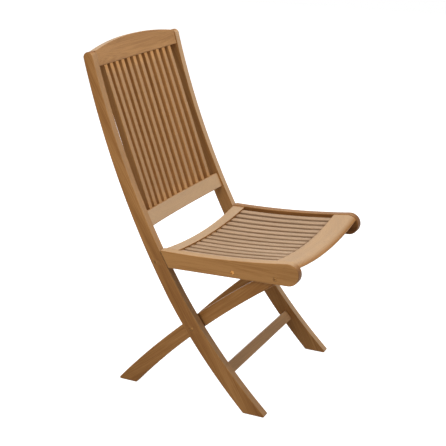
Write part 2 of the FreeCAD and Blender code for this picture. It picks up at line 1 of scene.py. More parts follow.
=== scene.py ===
"""Folding teak side chair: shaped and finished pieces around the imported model.

Lengths are millimetres until a mesh is made, and metres in Blender. The chair faces -Y, +Z is
up and X = 0 is its middle plane. A side-view point is a pair of y and z.
"""

from __future__ import annotations

import logging
import math
from collections.abc import Sequence
from dataclasses import dataclass
from enum import Enum
from functools import cache, cached_property

import bpy
import numpy as np
from mathutils import Matrix, Vector

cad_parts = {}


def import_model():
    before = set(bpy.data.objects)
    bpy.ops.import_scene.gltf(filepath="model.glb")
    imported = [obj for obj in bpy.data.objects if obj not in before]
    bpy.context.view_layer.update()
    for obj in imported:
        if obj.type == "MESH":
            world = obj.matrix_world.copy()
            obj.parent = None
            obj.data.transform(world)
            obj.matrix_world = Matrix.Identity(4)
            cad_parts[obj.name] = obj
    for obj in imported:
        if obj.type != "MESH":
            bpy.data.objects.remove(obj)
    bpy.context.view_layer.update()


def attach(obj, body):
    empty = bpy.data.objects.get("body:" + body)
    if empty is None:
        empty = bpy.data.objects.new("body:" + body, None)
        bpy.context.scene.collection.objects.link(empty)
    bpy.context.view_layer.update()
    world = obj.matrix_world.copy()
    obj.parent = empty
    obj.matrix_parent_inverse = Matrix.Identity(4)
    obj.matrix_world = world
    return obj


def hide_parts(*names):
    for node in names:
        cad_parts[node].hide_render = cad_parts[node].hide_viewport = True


Array = np.ndarray
Socket = bpy.types.NodeSocket
Colour = tuple[float, float, float, float]
# A noise's scale along the grain, across the board and through it.
Stretch = tuple[float, float, float]
# The range a value comes in, low and high, and the range it leaves in.
Band = tuple[float, float, float, float]
LOG = logging.getLogger("folding_chair")

MM = 0.001
X_AXIS = np.array([1.0, 0.0, 0.0])
Y_AXIS = np.array([0.0, 1.0, 0.0])
Z_AXIS = np.array([0.0, 0.0, 1.0])

# Distance from a rounding to the level that keeps the flat beside it flat in shading.
SUPPORT = 0.4
# Wear where a rounding meets the flats, and what its middle has on top.
EDGE_WEAR, CREST_WEAR = 0.4, 0.6
# Cosine between a surface and the way of weather and light where bleaching and painted sheen
# start, and the rise to full.
FACING_START, FACING_RISE = 0.7, 0.25
# Points along an edge of the bowed back rails.
RAIL_POINTS = 49


class Side(Enum):
    """The sitter's right or left, as the sign of X."""

    RIGHT = -1
    LEFT = 1

    @property
    def word(self) -> str:
        """The side's name as the nodes spell it."""
        return self.name.lower()


class Body(Enum):
    """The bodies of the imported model."""

    BACK_FRAME = "back_frame"
    REAR_LEGS = "rear_legs"
    SEAT = "seat"
    LINK_RIGHT = "link_right"
    LINK_LEFT = "link_left"


# Side-view geometry


@dataclass(frozen=True)
class Bow:
    """A chain of tangent arcs walked by the length along it.

    Headings are radians from the rearward axis. Offsets are square to the walk, to its right.
    """

    start: tuple[float, float]
    heading: float
    arcs: tuple[tuple[float, float], ...]

    def at(self, station: Array) -> tuple[Array, Array, Array]:
        """Walk the chain.

        On an arc of radius r the heading grows by step / r, y by r times the change of its
        sine, and z falls by r times the change of its cosine.

        Args:
            station: Lengths along the chain.

        Returns:
            The y, z and heading at each station.
        """
        remaining = np.asarray(station, float)
        y = np.full_like(remaining, self.start[0])
        z = np.full_like(remaining, self.start[1])
        heading = np.full_like(remaining, self.heading)
        for index, (radius, length) in enumerate(self.arcs):
            is_last = index == len(self.arcs) - 1
            step = remaining if is_last else np.minimum(remaining, length)
            ahead = heading + step / radius
            y = y + radius * (np.sin(ahead) - np.sin(heading))
            z = z - radius * (np.cos(ahead) - np.cos(heading))
            heading = ahead
            remaining = remaining - step
        return y, z, heading

    def points(self, station: Array, offset: Array | float = 0.0) -> Array:
        """Side-view points at the stations, moved square to the chain.

        Args:
            station: Lengths along the chain.
            offset: Distance to the right of the walk.

        Returns:
            Points as rows of y and z.
        """
        y, z, heading = self.at(station)
        return np.stack((y + offset * np.sin(heading), z - offset * np.cos(heading)), axis=-1)


def turned(points: Array, degrees: float) -> Array:
    """Points turned about the origin, counterclockwise with y right and z up.

    Args:
        points: Rows of y and z.
        degrees: The turn.

    Returns:
        The turned rows.
    """
    angle = math.radians(degrees)
    y, z = points[..., 0], points[..., 1]
    return np.stack((y * math.cos(angle) - z * math.sin(angle),
                     y * math.sin(angle) + z * math.cos(angle)), axis=-1)


def crossing_of(values: Array, marks: Array) -> float:
    """The mark at which rising or falling values pass through zero.

    Args:
        values: Samples of a monotonic function.
        marks: Where the samples were taken.

    Returns:
        The mark, interpolated between samples.
    """
    order = np.argsort(values)
    return float(np.interp(0.0, values[order], marks[order]))


def arc_radius(chord: float, rise: float) -> float:
    """Radius of the arc that rises this much over its chord."""
    return (chord ** 2 / 4 + rise ** 2) / (2 * rise)


def hollow_depth(x: Array, chord: float, dish: float) -> Array:
    """Depth at x of a hollow arc: its dish, less the radius less the leg of the triangle."""
    radius = arc_radius(chord, dish)
    return dish - (radius - np.sqrt(radius ** 2 - x ** 2))


def spread(number: int, count: int, outermost: float) -> float:
    """X of one of several evenly spaced pieces, numbered from the right."""
    return (2 * (number - 1) / (count - 1) - 1) * outermost


@dataclass(frozen=True)
class ChairLayout:
    """Sizes of the open chair and the lines that its pieces follow."""

    overall_width: float = 480.0
    origin_setback: float = 232.3
    stile_thickness: float = 24.0
    toe_lean: float = 46.5
    lower_bow: tuple[float, float] = (1560.0, 400.0)
    upper_bow: tuple[float, float] = (2088.0, 685.5)
    stile_leads: tuple[float, float, float, float] = (2.5, 2.2, 4.8, 2.8)
    stile_depths: tuple[float, float, float, float] = (48.5, 44.0, 35.8, 29.0)
    top_round_height: float = 11.5
    crossing_station: float = 307.5
    crossing_inset: float = 24.5
    side_gap: float = 8.0
    leg_thickness: float = 23.0
    leg_rise: float = 4.3
    leg_lean: float = 49.31
    leg_radius: float = 2350.0
    leg_reach: float = 307.8
    leg_foot_width: float = 45.0
    leg_top_width: float = 35.0
    seat_tilt: float = 1.4
    pivot_height: float = 14.5
    nose_radius: float = 30.7
    nose_reach: float = 35.0
    nose_break: float = 6.2
    seat_radius: float = 2520.0
    link_pin_inset: float = 24.0
    link_pin_drop: float = 3.1
    link_distance: float = 122.3

    @property
    def half_width(self) -> float:
        """Outer face of the stiles."""
        return self.overall_width / 2

    @property
    def stile_inner(self) -> float:
        """Inner face of the stiles and side rails."""
        return self.half_width - self.stile_thickness

    @property
    def inner_width(self) -> float:
        """Distance between the stiles, and between the side rails."""
        return 2 * self.stile_inner

    @property
    def leg_outer(self) -> float:
        """Outer face of the rear legs."""
        return self.stile_inner - self.side_gap

    @property
    def leg_inner(self) -> float:
        """Inner face of the rear legs."""
        return self.leg_outer - self.leg_thickness

    @cached_property
    def stile_bow(self) -> Bow:
        """Line just behind the front edge of the stiles, from the toe up."""
        return Bow((-self.origin_setback, 0.0), math.radians(90 - self.toe_lean),
                   (self.lower_bow, self.upper_bow))

    @property
    def knee(self) -> float:
        """Station where the lower bow meets the upper one."""
        return self.lower_bow[1]

    @property
    def top(self) -> float:
        """Station where the front edge ends."""
        return self.lower_bow[1] + self.upper_bow[1]

    def along_stile(self, station: Array, values: tuple[float, float, float, float]) -> Array:
        """A size of the stile: a straight taper to the knee and a parabola above it.

        Args:
            station: Lengths along the stile bow.
            values: The size at the foot, the knee, the shoulder and the top.

        Returns:
            The size at each station.
        """
        foot, knee, shoulder, top = values
        below = foot + station / self.knee * (knee - foot)
        high = (station - self.knee) / (self.top - self.knee)
        hollow = (knee + top) / 2 - shoulder
        above = knee + high * (top - knee) - 4 * high * (1 - high) * hollow
        return np.where(station < self.knee, below, above)

    def stile_front(self, station: Array, ahead: float = 0.0) -> Array:
        """Front edge of a stile at the stations of the bow, or a line this far ahead."""
        return self.stile_bow.points(station,
                                     -self.along_stile(station, self.stile_leads) - ahead)

    def stile_rear(self, station: Array) -> Array:
        """Rear edge of a stile at the stations of the bow."""
        return self.stile_bow.points(station, self.along_stile(station, self.stile_depths)
                                     - self.along_stile(station, self.stile_leads))

    @cached_property
    def crossing(self) -> Array:
        """Pivot of the rear legs on the stiles."""
        return self.stile_bow.points(np.array(self.crossing_station), self.crossing_inset)

    @cached_property
    def leg_bow(self) -> Bow:
        """Middle line of the rear legs, walked forwards from above the crossing.

        It starts at the leg's rise from the crossing, square to the leg.

        Returns:
            The line.
        """
        heading = math.radians(90 + self.leg_lean)
        start = self.crossing + self.leg_rise * np.array([math.sin(heading),
                                                          -math.cos(heading)])
        return Bow(tuple(start), heading, ((self.leg_radius, self.leg_reach),))

    def leg_half_width(self, station: Array) -> Array:
        """Half the width of a rear leg, tapering from the foot to the seat pivot."""
        share = (station + self.leg_reach) / (2 * self.leg_reach)
        return (self.leg_foot_width
                + share * (self.leg_top_width - self.leg_foot_width)) / 2

    @cached_property
    def seat_pivot(self) -> Array:
        """Pivot of the seat on the rear legs."""
        return self.leg_bow.points(np.array(self.leg_reach))

    def on_chair(self, points: Array) -> Array:
        """Side-view points of the chair for rows of the seat frame."""
        return turned(points, -self.seat_tilt) + self.seat_pivot

    def on_seat(self, points: Array) -> Array:
        """Rows of the seat frame for side-view points of the chair."""
        return turned(points - self.seat_pivot, self.seat_tilt)

    @property
    def rail_bottom(self) -> float:
        """Lower edge of the side rails in the seat frame."""
        return -self.pivot_height

    @cached_property
    def nose_centre(self) -> Array:
        """Centre of the half round at the front of the side rails."""
        return np.array([-self.nose_reach, self.rail_bottom + self.nose_radius])

    @cached_property
    def curve_centre(self) -> Array:
        """Centre of the arc that the top of the side rails follows.

        It lies in line with the nose's centre and the break, where the two arcs touch, so it
        is the sum of their radii away.

        Returns:
            A row of the seat frame.
        """
        angle = math.radians(self.nose_break)
        reach = self.seat_radius + self.nose_radius
        return self.nose_centre + reach * np.array([math.sin(angle), math.cos(angle)])

    def on_curve(self, rearward: Array | float, drop: Array | float = 0.0) -> Array:
        """Points on the lines square to the seat curve.

        The slope at a place is the arc sine of its distance from the curve's centre over the
        radius. The point lies the radius and the drop from the centre, along that slope.

        Args:
            rearward: Places along the seat frame.
            drop: Distance below the curve.

        Returns:
            Rows of the seat frame.
        """
        slope = np.arcsin((np.asarray(rearward) - self.curve_centre[0]) / self.seat_radius)
        reach = self.seat_radius + drop
        return np.stack((self.curve_centre[0] + reach * np.sin(slope),
                         self.curve_centre[1] - reach * np.cos(slope)), axis=-1)

    def curve_slope(self, rearward: float) -> float:
        """Slope of the seat curve in degrees at a place along the seat frame."""
        return math.degrees(math.asin((rearward - self.curve_centre[0]) / self.seat_radius))

    def board_axes(self, rearward: float) -> tuple[Array, Array]:
        """Directions of a board laid along the seat curve.

        Args:
            rearward: Its place along the seat frame.

        Returns:
            Unit vectors rearwards along it and upwards out of it.
        """
        pitch = math.radians(self.curve_slope(rearward) - self.seat_tilt)
        return (np.array([0, math.cos(pitch), math.sin(pitch)]),
                np.array([0, -math.sin(pitch), math.cos(pitch)]))

    @cached_property
    def link_pin(self) -> Array:
        """Pin of the links on the stiles.

        It lies at its inset from the stile's line, where that is its drop below the seat
        pivots in the seat frame.

        Returns:
            A side-view point.
        """
        stations = np.linspace(self.knee, self.top, 4001)
        pins = self.stile_bow.points(stations, self.link_pin_inset)
        gap = self.on_seat(pins)[:, 1] + self.link_pin_drop
        return self.stile_bow.points(np.array(crossing_of(gap, stations)), self.link_pin_inset)

    @cached_property
    def link_seat(self) -> Array:
        """Front pivot of the links on the side rails."""
        return self.on_chair(np.array([self.link_distance, 0.0]))


# Mesh building


@dataclass
class Surface:
    """Points in millimetres with the faces that join them."""

    points: Array
    faces: list[tuple[int, ...]]
    edge_wear: Array | None = None

    def wear(self) -> Array:
        """How worn each point is, 0 where nothing was said."""
        return np.zeros(len(self.points)) if self.edge_wear is None else self.edge_wear


def joined(surfaces: Sequence[Surface]) -> Surface:
    """Several surfaces as one.

    Args:
        surfaces: At least one surface.

    Returns:
        Their points and faces, one surface after the other.
    """
    faces: list[tuple[int, ...]] = []
    shift = 0
    for surface in surfaces:
        faces += [tuple(index + shift for index in face) for face in surface.faces]
        shift += len(surface.points)
    return Surface(np.concatenate([surface.points for surface in surfaces]), faces,
                   np.concatenate([surface.wear() for surface in surfaces]))


@dataclass(frozen=True)
class Placement:
    """Where an outline lies: its origin, its two axes and the way its thickness goes."""

    origin: Array
    first: Array
    second: Array
    through: Array

    def place(self, outline: Array, depth: Array) -> Array:
        """Origin plus the outline along its two axes plus the depth along the third.

        Args:
            outline: Rows of two coordinates.
            depth: One depth for each row.

        Returns:
            Rows of x, y and z.
        """
        return (self.origin + outline[..., :1] * self.first + outline[..., 1:] * self.second
                + depth[..., None] * self.through)


def side_view(x: float, side: Side) -> Placement:
    """Placement of a side-view outline whose thickness grows outwards from x on that side."""
    return Placement(side.value * x * X_AXIS, Y_AXIS, Z_AXIS, side.value * X_AXIS)


def round_corner(inner: Array, corner: Array, outer: Array, radius: float,
                 count: int = 5) -> Array:
    """Arc that rounds a corner.

    The centre lies on the bisector at radius / sin(half angle), and the points turn evenly
    from one tangent point to the other.

    Args:
        inner: A point on the side where the arc starts.
        corner: The corner itself.
        outer: A point on the side where the arc ends.
        radius: Radius of the rounding.
        count: Number of points.

    Returns:
        Rows of two coordinates from the inner side to the outer side.
    """
    first = (inner - corner) / np.linalg.norm(inner - corner)
    last = (outer - corner) / np.linalg.norm(outer - corner)
    half = math.acos(float(np.clip(first @ last, -1, 1))) / 2
    bisector = (first + last) / np.linalg.norm(first + last)
    centre = corner + bisector * radius / math.sin(half)
    tangent = radius / math.tan(half)
    start = (corner + first * tangent - centre) / radius
    end = (corner + last * tangent - centre) / radius
    sweep = math.acos(float(np.clip(start @ end, -1, 1)))
    share = np.linspace(0, 1, count)[:, None]
    return centre + radius * (np.sin((1 - share) * sweep) * start
                              + np.sin(share * sweep) * end) / math.sin(sweep)


def arc_through(start: Array, bulge: Array, end: Array, count: int) -> Array:
    """Evenly spaced points on the arc through three points.

    The centre solves the two equations that put it as far from the start as from the other
    two points.

    Args:
        start: First point.
        bulge: A point on the way.
        end: Last point.
        count: Number of points, ends included.

    Returns:
        Rows of two coordinates.
    """
    matrix = 2 * np.stack((bulge - start, end - start))
    centre = np.linalg.solve(matrix, np.array([bulge @ bulge - start @ start,
                                               end @ end - start @ start]))
    angles = np.unwrap([math.atan2(*(point - centre)[::-1]) for point in (start, bulge, end)])
    swept = np.linspace(angles[0], angles[2], count)
    radius = np.linalg.norm(start - centre)
    return centre + radius * np.stack((np.cos(swept), np.sin(swept)), axis=-1)


def cap_halves(near: Array, tip: Array, far: Array, count: int) -> tuple[Array, Array]:
    """Round end of a piece, shared between its two edges.

    It is the arc from the near edge over the tip to the far edge, without its end points.

    Args:
        near: Where the near edge ends.
        tip: Outermost point of the cap.
        far: Where the far edge ends.
        count: Number of points for each edge.

    Returns:
        The points that carry on the near edge and those that carry on the far edge.
    """
    arc = arc_through(near, tip, far, 2 * count + 2)[1:-1]
    return arc[:count], arc[count:][::-1]


def inward(edge: Array, opposite: Array, keep_ends: bool) -> Array:
    """Unit vectors square to an edge, towards the opposite edge.

    Args:
        edge: Rows of two coordinates.
        opposite: The edge across the piece, point for point.
        keep_ends: Whether the end points may only move along the end faces.

    Returns:
        One vector for each point.
    """
    tangent = np.gradient(edge, axis=0)
    normal = np.stack((-tangent[:, 1], tangent[:, 0]), axis=-1)
    normal /= np.linalg.norm(normal, axis=1)[:, None]
    if np.sum(normal * (opposite - edge)) < 0:
        normal = -normal
    if keep_ends:
        for end in (0, -1):
            across = opposite[end] - edge[end]
            normal[end] = across / np.linalg.norm(across)
    return normal


def rounded_levels(depth: float, roundings: tuple[float, float], steps: int,
                   between: int) -> Array:
    """Levels through a piece's thickness and how far its outline draws in at each.

    A quarter round of radius r goes from inset r at the face to inset 0 at depth r. A level
    close beside each end of the quarter round keeps the flats flat in shading. The wear
    follows the sine of twice the quarter round's angle.

    Args:
        depth: The thickness.
        roundings: Radius of the edges at the start and at the end.
        steps: Facets in a quarter round.
        between: Extra levels between the two roundings.

    Returns:
        Rows of depth, inset and wear.
    """
    angle = np.linspace(0, math.pi / 2, steps + 1)
    sides = []
    for radius in roundings:
        arc = np.stack((radius * (1 - np.cos(angle)), radius * (1 - np.sin(angle)),
                        np.sin(2 * angle) * CREST_WEAR + EDGE_WEAR), axis=-1)
        face = [[0.0, radius + SUPPORT, 0.0]]
        flat = [[radius + SUPPORT, 0.0, 0.0]]
        sides.append(np.concatenate((face, arc, flat)))
    start, end = sides
    end = end[::-1] * [-1, 1, 1] + [depth, 0, 0]
    share = np.linspace(0, 1, between + 2)[1:-1, None]
    middle = start[-1] + share * (end[0] - start[-1])
    return np.concatenate((start, middle, end))


def planed_block(near: Array, far: Array, placement: Placement, depth: float,
                 roundings: tuple[float, float], keep_ends: bool = False,
                 steps: int = 3, between: int = 0) -> Surface:
    """Solid between two matched edges, carried through its thickness with rounded edges.

    The outline is the near edge followed by the far edge backwards. At each level it is drawn
    in along its inward vectors. Faces run round from level to level, and both flat sides are
    ladders between the near and the far edge.

    Args:
        near: Rows of two coordinates along one edge.
        far: The other edge, point for point.
        placement: Where the outline lies.
        depth: The thickness.
        roundings: Edge radius on the first and on the last flat side.
        keep_ends: Whether the two ends stay where they are at every level.
        steps: Facets in each rounding.
        between: Extra levels between the roundings, for a piece that is bent afterwards.

    Returns:
        The closed surface.
    """
    outline = np.concatenate((near, far[::-1]))
    pull = np.concatenate((inward(near, far, keep_ends), inward(far, near, keep_ends)[::-1]))
    levels = rounded_levels(depth, roundings, steps, between)
    loops = outline[None] + levels[:, 1, None, None] * pull[None]
    depths = np.broadcast_to(levels[:, :1], loops.shape[:2])
    points = placement.place(loops, depths).reshape(-1, 3)
    wear = np.repeat(levels[:, 2], len(outline))
    grid = np.arange(len(points)).reshape(len(levels), len(outline))
    ladders = []
    for level, order in ((grid[0], 1), (grid[-1], -1)):
        low, high = level[:len(near)], level[len(near):][::-1]
        ladder = np.stack((low[:-1], high[:-1], high[1:], low[1:]), axis=-1)
        ladders.append(ladder[:, ::order])
    faces = np.concatenate([tube_faces(grid)] + ladders)
    if signed_volume(points, faces) < 0:
        faces = faces[:, ::-1]
    return Surface(points, [tuple(face) for face in faces.tolist()], wear)


def tube_faces(rows: Array) -> Array:
    """Four-cornered faces that join each closed ring of point numbers to the next one."""
    after = np.roll(rows, -1, axis=1)
    return np.stack((rows[:-1], after[:-1], after[1:], rows[1:]), axis=-1).reshape(-1, 4)


def signed_volume(points: Array, faces: Array) -> float:
    """Volume inside four-cornered faces, positive when they face outwards.

    Each face is two triangles, and a triangle adds its corners' triple product over six.

    Args:
        points: Rows of x, y and z.
        faces: Rows of four point numbers.

    Returns:
        The volume.
    """
    a, b, c, d = (points[faces[:, corner]] for corner in range(4))
    twice = np.einsum("ij,ij->", a, np.cross(b, c)) + np.einsum("ij,ij->", a, np.cross(c, d))
    return float(twice) / 6


def compass(around: int) -> Array:
    """Evenly spaced angles of a ring's points."""
    return np.linspace(0, 2 * math.pi, around, endpoint=False)


def hexagon(flat: float, around: int) -> Array:
    """Radii of a hexagon: the flats' distance over the cosine of the angle from the flat."""
    sixth = (compass(around) + math.pi / 6) % (math.pi / 3) - math.pi / 6
    return flat / np.cos(sixth)


def turned_solid(centre: Array, side: Side, outward: Array, radii: Array,
                 around: int = 40, is_ring: bool = False) -> Surface:
    """Closed surface of revolution along X through a side-view point.

    Each row lies at its distance outwards, and its radius may change round it.

    Args:
        centre: Side-view point of the axis.
        side: The side whose direction counts as outward.
        outward: Distance of each row from the middle plane.
        radii: Radius of each row, or of each row at each angle.
        around: Number of points in a row.
        is_ring: Whether the last row joins the first one, round a hole. Otherwise both ends
            are flat.

    Returns:
        The closed surface.
    """
    angle = compass(around)
    radii = radii[:, None] if radii.ndim == 1 else radii
    radii = np.broadcast_to(radii, (len(outward), around))
    x = np.broadcast_to(side.value * outward[:, None], radii.shape)
    points = np.stack((x, centre[0] + radii * np.cos(angle), centre[1] + radii * np.sin(angle)),
                      axis=-1).reshape(-1, 3)
    grid = np.arange(len(points)).reshape(radii.shape)
    faces = tube_faces(np.concatenate((grid, grid[:1])) if is_ring else grid)
    ends = [] if is_ring else [grid[0][::-1], grid[-1]]
    if signed_volume(points - points.mean(axis=0), faces) < 0:
        faces = faces[:, ::-1]
        ends = [end[::-1] for end in ends]
    return Surface(points, [tuple(face) for face in faces.tolist()]
                   + [tuple(end.tolist()) for end in ends])


def mesh_object(name: str, surface: Surface) -> bpy.types.Object:
    """Blender object for a surface, in metres, with its wear as an attribute.

    Args:
        name: Name of the object.
        surface: Points and faces.

    Returns:
        The object, linked to the scene.
    """
    mesh = bpy.data.meshes.new(name)
    mesh.from_pydata((surface.points * MM).tolist(), [], surface.faces)
    store(mesh, "edge_wear", surface.wear())
    mesh.update()
    thing = bpy.data.objects.new(name, mesh)
    bpy.context.scene.collection.objects.link(thing)
    return thing


def cut_away(thing: bpy.types.Object, cutter: Surface) -> None:
    """Cut a surface's inside out of an object and keep the result as its mesh.

    Args:
        thing: The object to cut.
        cutter: Closed surface of what is taken away.
    """
    tool = mesh_object("cutter", cutter)
    step = thing.modifiers.new("cut", "BOOLEAN")
    step.operation = "DIFFERENCE"
    step.solver = "EXACT"
    step.object = tool
    depsgraph = bpy.context.evaluated_depsgraph_get()
    result = bpy.data.meshes.new_from_object(thing.evaluated_get(depsgraph))
    thing.modifiers.clear()
    whole = thing.data
    thing.data = result
    result.name = thing.name
    bpy.data.meshes.remove(whole)
    bpy.data.meshes.remove(tool.data)


def smooth(thing: bpy.types.Object, sharp_degrees: float = 40.0) -> None:
    """Shade smooth, with creases where faces meet at more than the angle.

    Args:
        thing: The piece.
        sharp_degrees: The least angle of a crease.
    """
    thing.data.polygons.foreach_set("use_smooth", np.ones(len(thing.data.polygons), bool))
    thing.data.set_sharp_from_angle(angle=math.radians(sharp_degrees))
    thing.data.update()


def store(mesh: bpy.types.Mesh, name: str, values: Array) -> None:
    """Write one vector or number for each point into an attribute of the mesh.

    Args:
        mesh: The mesh.
        name: Name of the attribute, which is made where it is missing.
        values: Rows of three, or single numbers.
    """
    kind, key = ("FLOAT_VECTOR", "vector") if values.ndim == 2 else ("FLOAT", "value")
    attribute = mesh.attributes.get(name) or mesh.attributes.new(name, kind, "POINT")
    attribute.data.foreach_set(key, values.astype(np.float32).ravel())


# Wood


@dataclass(frozen=True)
class Board:
    """How a piece was sawn and how it has aged, with painted sheen and painted shade.

    Attributes:
        along: The way of its grain.
        face: The way its broad face looks.
        seed: Seed of the draws that place it in a log of its own.
        bleach: The least bleaching, with painted sheen, all over the piece.
        tone_and_painted_shade: Shift of its shade, darker above 0 and paler below; on the
            seat's side rails it also paints the near rail lit and the far rail shaded.
        sun: Paleness of the faces turned to the weather and the light: bleaching and painted
            sheen.
        sky: The way from which it weathers and from which the painted sheen falls.
    """

    along: tuple[float, float, float]
    face: tuple[float, float, float]
    seed: int
    bleach: float = 0.0
    tone_and_painted_shade: float = 0.0
    sun: float = 0.6
    sky: tuple[float, float, float] = (0.0, 0.0, 1.0)

    def mark(self, thing: bpy.types.Object) -> None:
        """Store grain coordinates, end grain, tone with painted shade, and bleaching with
        painted sheen on the mesh.

        The grain coordinates are the place along the grain, across the board and through it,
        from the piece's middle, leaned a little and moved to a place of its own: anywhere
        along a log and 30 to 90 mm to one side of its pith. End grain is the cosine between
        the normal and the grain. The share of bleaching and painted sheen rises with the cosine
        between the normal and the way of the weather and the light, and the larger of it and
        the least bleaching counts.

        Args:
            thing: The piece, with its final mesh.
        """
        mesh = thing.data
        points = np.empty(len(mesh.vertices) * 3)
        mesh.vertices.foreach_get("co", points)
        points = points.reshape(-1, 3)
        along = np.array(self.along) / np.linalg.norm(self.along)
        through = np.array(self.face) - np.dot(self.face, along) * along
        through /= np.linalg.norm(through)
        across = np.cross(through, along)
        centre = (points.min(axis=0) + points.max(axis=0)) / 2
        chance = np.random.default_rng(self.seed)
        place = np.array([chance.uniform(-20, 20), chance.uniform(-0.03, 0.03),
                          chance.uniform(0.03, 0.09) * chance.choice([-1, 1])])
        lean = chance.uniform(-0.02, 0.02, 2)
        grain = (points - centre) @ np.stack((along, across, through), axis=1)
        grain[:, 1:] += lean * grain[:, :1]
        grain += place
        store(mesh, "grain", grain)
        normals = np.empty(points.size)
        mesh.vertex_normals.foreach_get("vector", normals)
        normals = normals.reshape(-1, 3)
        # Paleness towards the weather and the light: real bleaching and painted sheen.
        to_weather_and_light = normals @ np.array(self.sky) / np.linalg.norm(self.sky)
        sunned_and_sheened = self.sun * np.clip((to_weather_and_light - FACING_START) / FACING_RISE, 0, 1)
        store(mesh, "end_grain", np.abs(normals @ along))
        # The tone varies at random, and on the seat's side rails it also carries painted light
        # and shade.
        store(mesh, "tone_and_painted_shade", np.full(len(points), self.tone_and_painted_shade + chance.uniform(-0.5, 0.5)))
        store(mesh, "bleach", np.maximum(self.bleach, sunned_and_sheened))


# Finishes


class NodeGraph:
    """Short spellings for building a node tree."""

    def __init__(self, tree: bpy.types.NodeTree) -> None:
        """Work on a tree as it stands."""
        self.tree = tree

    def add(self, kind: str, **settings: object) -> bpy.types.Node:
        """New node.

        Args:
            kind: Its type.
            **settings: Properties to set on it.

        Returns:
            The node.
        """
        node = self.tree.nodes.new(kind)
        for key, value in settings.items():
            setattr(node, key, value)
        return node

    def link(self, source: object, target: Socket) -> None:
        """Feed a socket from another socket, or set it to a value.

        Args:
            source: The other socket or the value.
            target: The socket.
        """
        if isinstance(source, Socket):
            self.tree.links.new(source, target)
        else:
            target.default_value = source

    def attribute(self, name: str, output: str) -> Socket:
        """Output of a mesh attribute."""
        return self.add("ShaderNodeAttribute", attribute_name=name).outputs[output]

    def stretched(self, vector: Socket, scale: Stretch) -> Socket:
        """Coordinates multiplied by a scale for each axis.

        Args:
            vector: The coordinates.
            scale: The three factors.

        Returns:
            The scaled coordinates.
        """
        node = self.add("ShaderNodeMapping")
        self.link(vector, node.inputs["Vector"])
        self.link(scale, node.inputs["Scale"])
        return node.outputs[0]

    def noise(self, vector: Socket, scale: float, detail: float,
              roughness: float = 0.5) -> Socket:
        """Noise between 0 and 1.

        Args:
            vector: Coordinates.
            scale: Its fineness.
            detail: Number of finer layers.
            roughness: Strength of the finer layers.

        Returns:
            The noise.
        """
        node = self.add("ShaderNodeTexNoise")
        self.link(vector, node.inputs["Vector"])
        self.link(scale, node.inputs["Scale"])
        self.link(detail, node.inputs["Detail"])
        self.link(roughness, node.inputs["Roughness"])
        return node.outputs["Fac"]

    def math(self, operation: str, first: object, second: object = 0.0,
             clamp: bool = False) -> Socket:
        """Sum, product or another operation.

        Args:
            operation: The node's word for it.
            first: First socket or number.
            second: Second socket or number.
            clamp: Whether the result is held between 0 and 1.

        Returns:
            The result.
        """
        node = self.add("ShaderNodeMath", operation=operation, use_clamp=clamp)
        self.link(first, node.inputs[0])
        self.link(second, node.inputs[1])
        return node.outputs[0]

    def remap(self, value: Socket, band: Band) -> Socket:
        """Value moved from one range to another and held inside it.

        Args:
            value: The value.
            band: Low and high of the range it comes in and of the range it leaves in.

        Returns:
            The moved value.
        """
        node = self.add("ShaderNodeMapRange", clamp=True)
        for index, entry in enumerate((value, *band)):
            self.link(entry, node.inputs[index])
        return node.outputs[0]

    def mix(self, share: object, first: object, second: object) -> Socket:
        """Colour between two colours.

        Args:
            share: 0 for the first colour and 1 for the second.
            first: First colour.
            second: Second colour.

        Returns:
            The mixed colour.
        """
        node = self.add("ShaderNodeMix", data_type="RGBA")
        colours = [socket for socket in node.inputs if socket.type == "RGBA"]
        self.link(share, node.inputs[0])
        self.link(first, colours[0])
        self.link(second, colours[1])
        return next(socket for socket in node.outputs if socket.type == "RGBA")

    def seen(self) -> Socket:
        """1 to the camera and in reflections, and 0 to every other ray."""
        rays = self.add("ShaderNodeLightPath").outputs
        return self.math("MAXIMUM", rays["Is Camera Ray"], rays["Is Glossy Ray"])


class MaterialGraph(NodeGraph):
    """Node tree of a new material, which starts with a Principled shader and an output."""

    def __init__(self, name: str) -> None:
        """Make the material.

        Args:
            name: Its name.
        """
        self.material = bpy.data.materials.new(name)
        self.material.use_nodes = True
        super().__init__(self.material.node_tree)
        self.tree.nodes.clear()
        self.shader = self.add("ShaderNodeBsdfPrincipled")
        self.output = self.add("ShaderNodeOutputMaterial")
        self.link(self.shader.outputs[0], self.output.inputs["Surface"])

    def dress(self, name: str, source: object) -> None:
        """Feed or set one of the shader's own sockets."""
        self.link(source, self.shader.inputs[name])

    def emboss(self, height: Socket, strength: float, distance: float) -> None:
        """Raise the surface's shading by a height.

        Args:
            height: The height, 1 for the full distance.
            strength: How much of it shows.
            distance: The full distance in metres.
        """
        bump = self.add("ShaderNodeBump")
        self.link(strength, bump.inputs["Strength"])
        self.link(distance, bump.inputs["Distance"])
        self.link(height, bump.inputs["Height"])
        self.dress("Normal", bump.outputs[0])


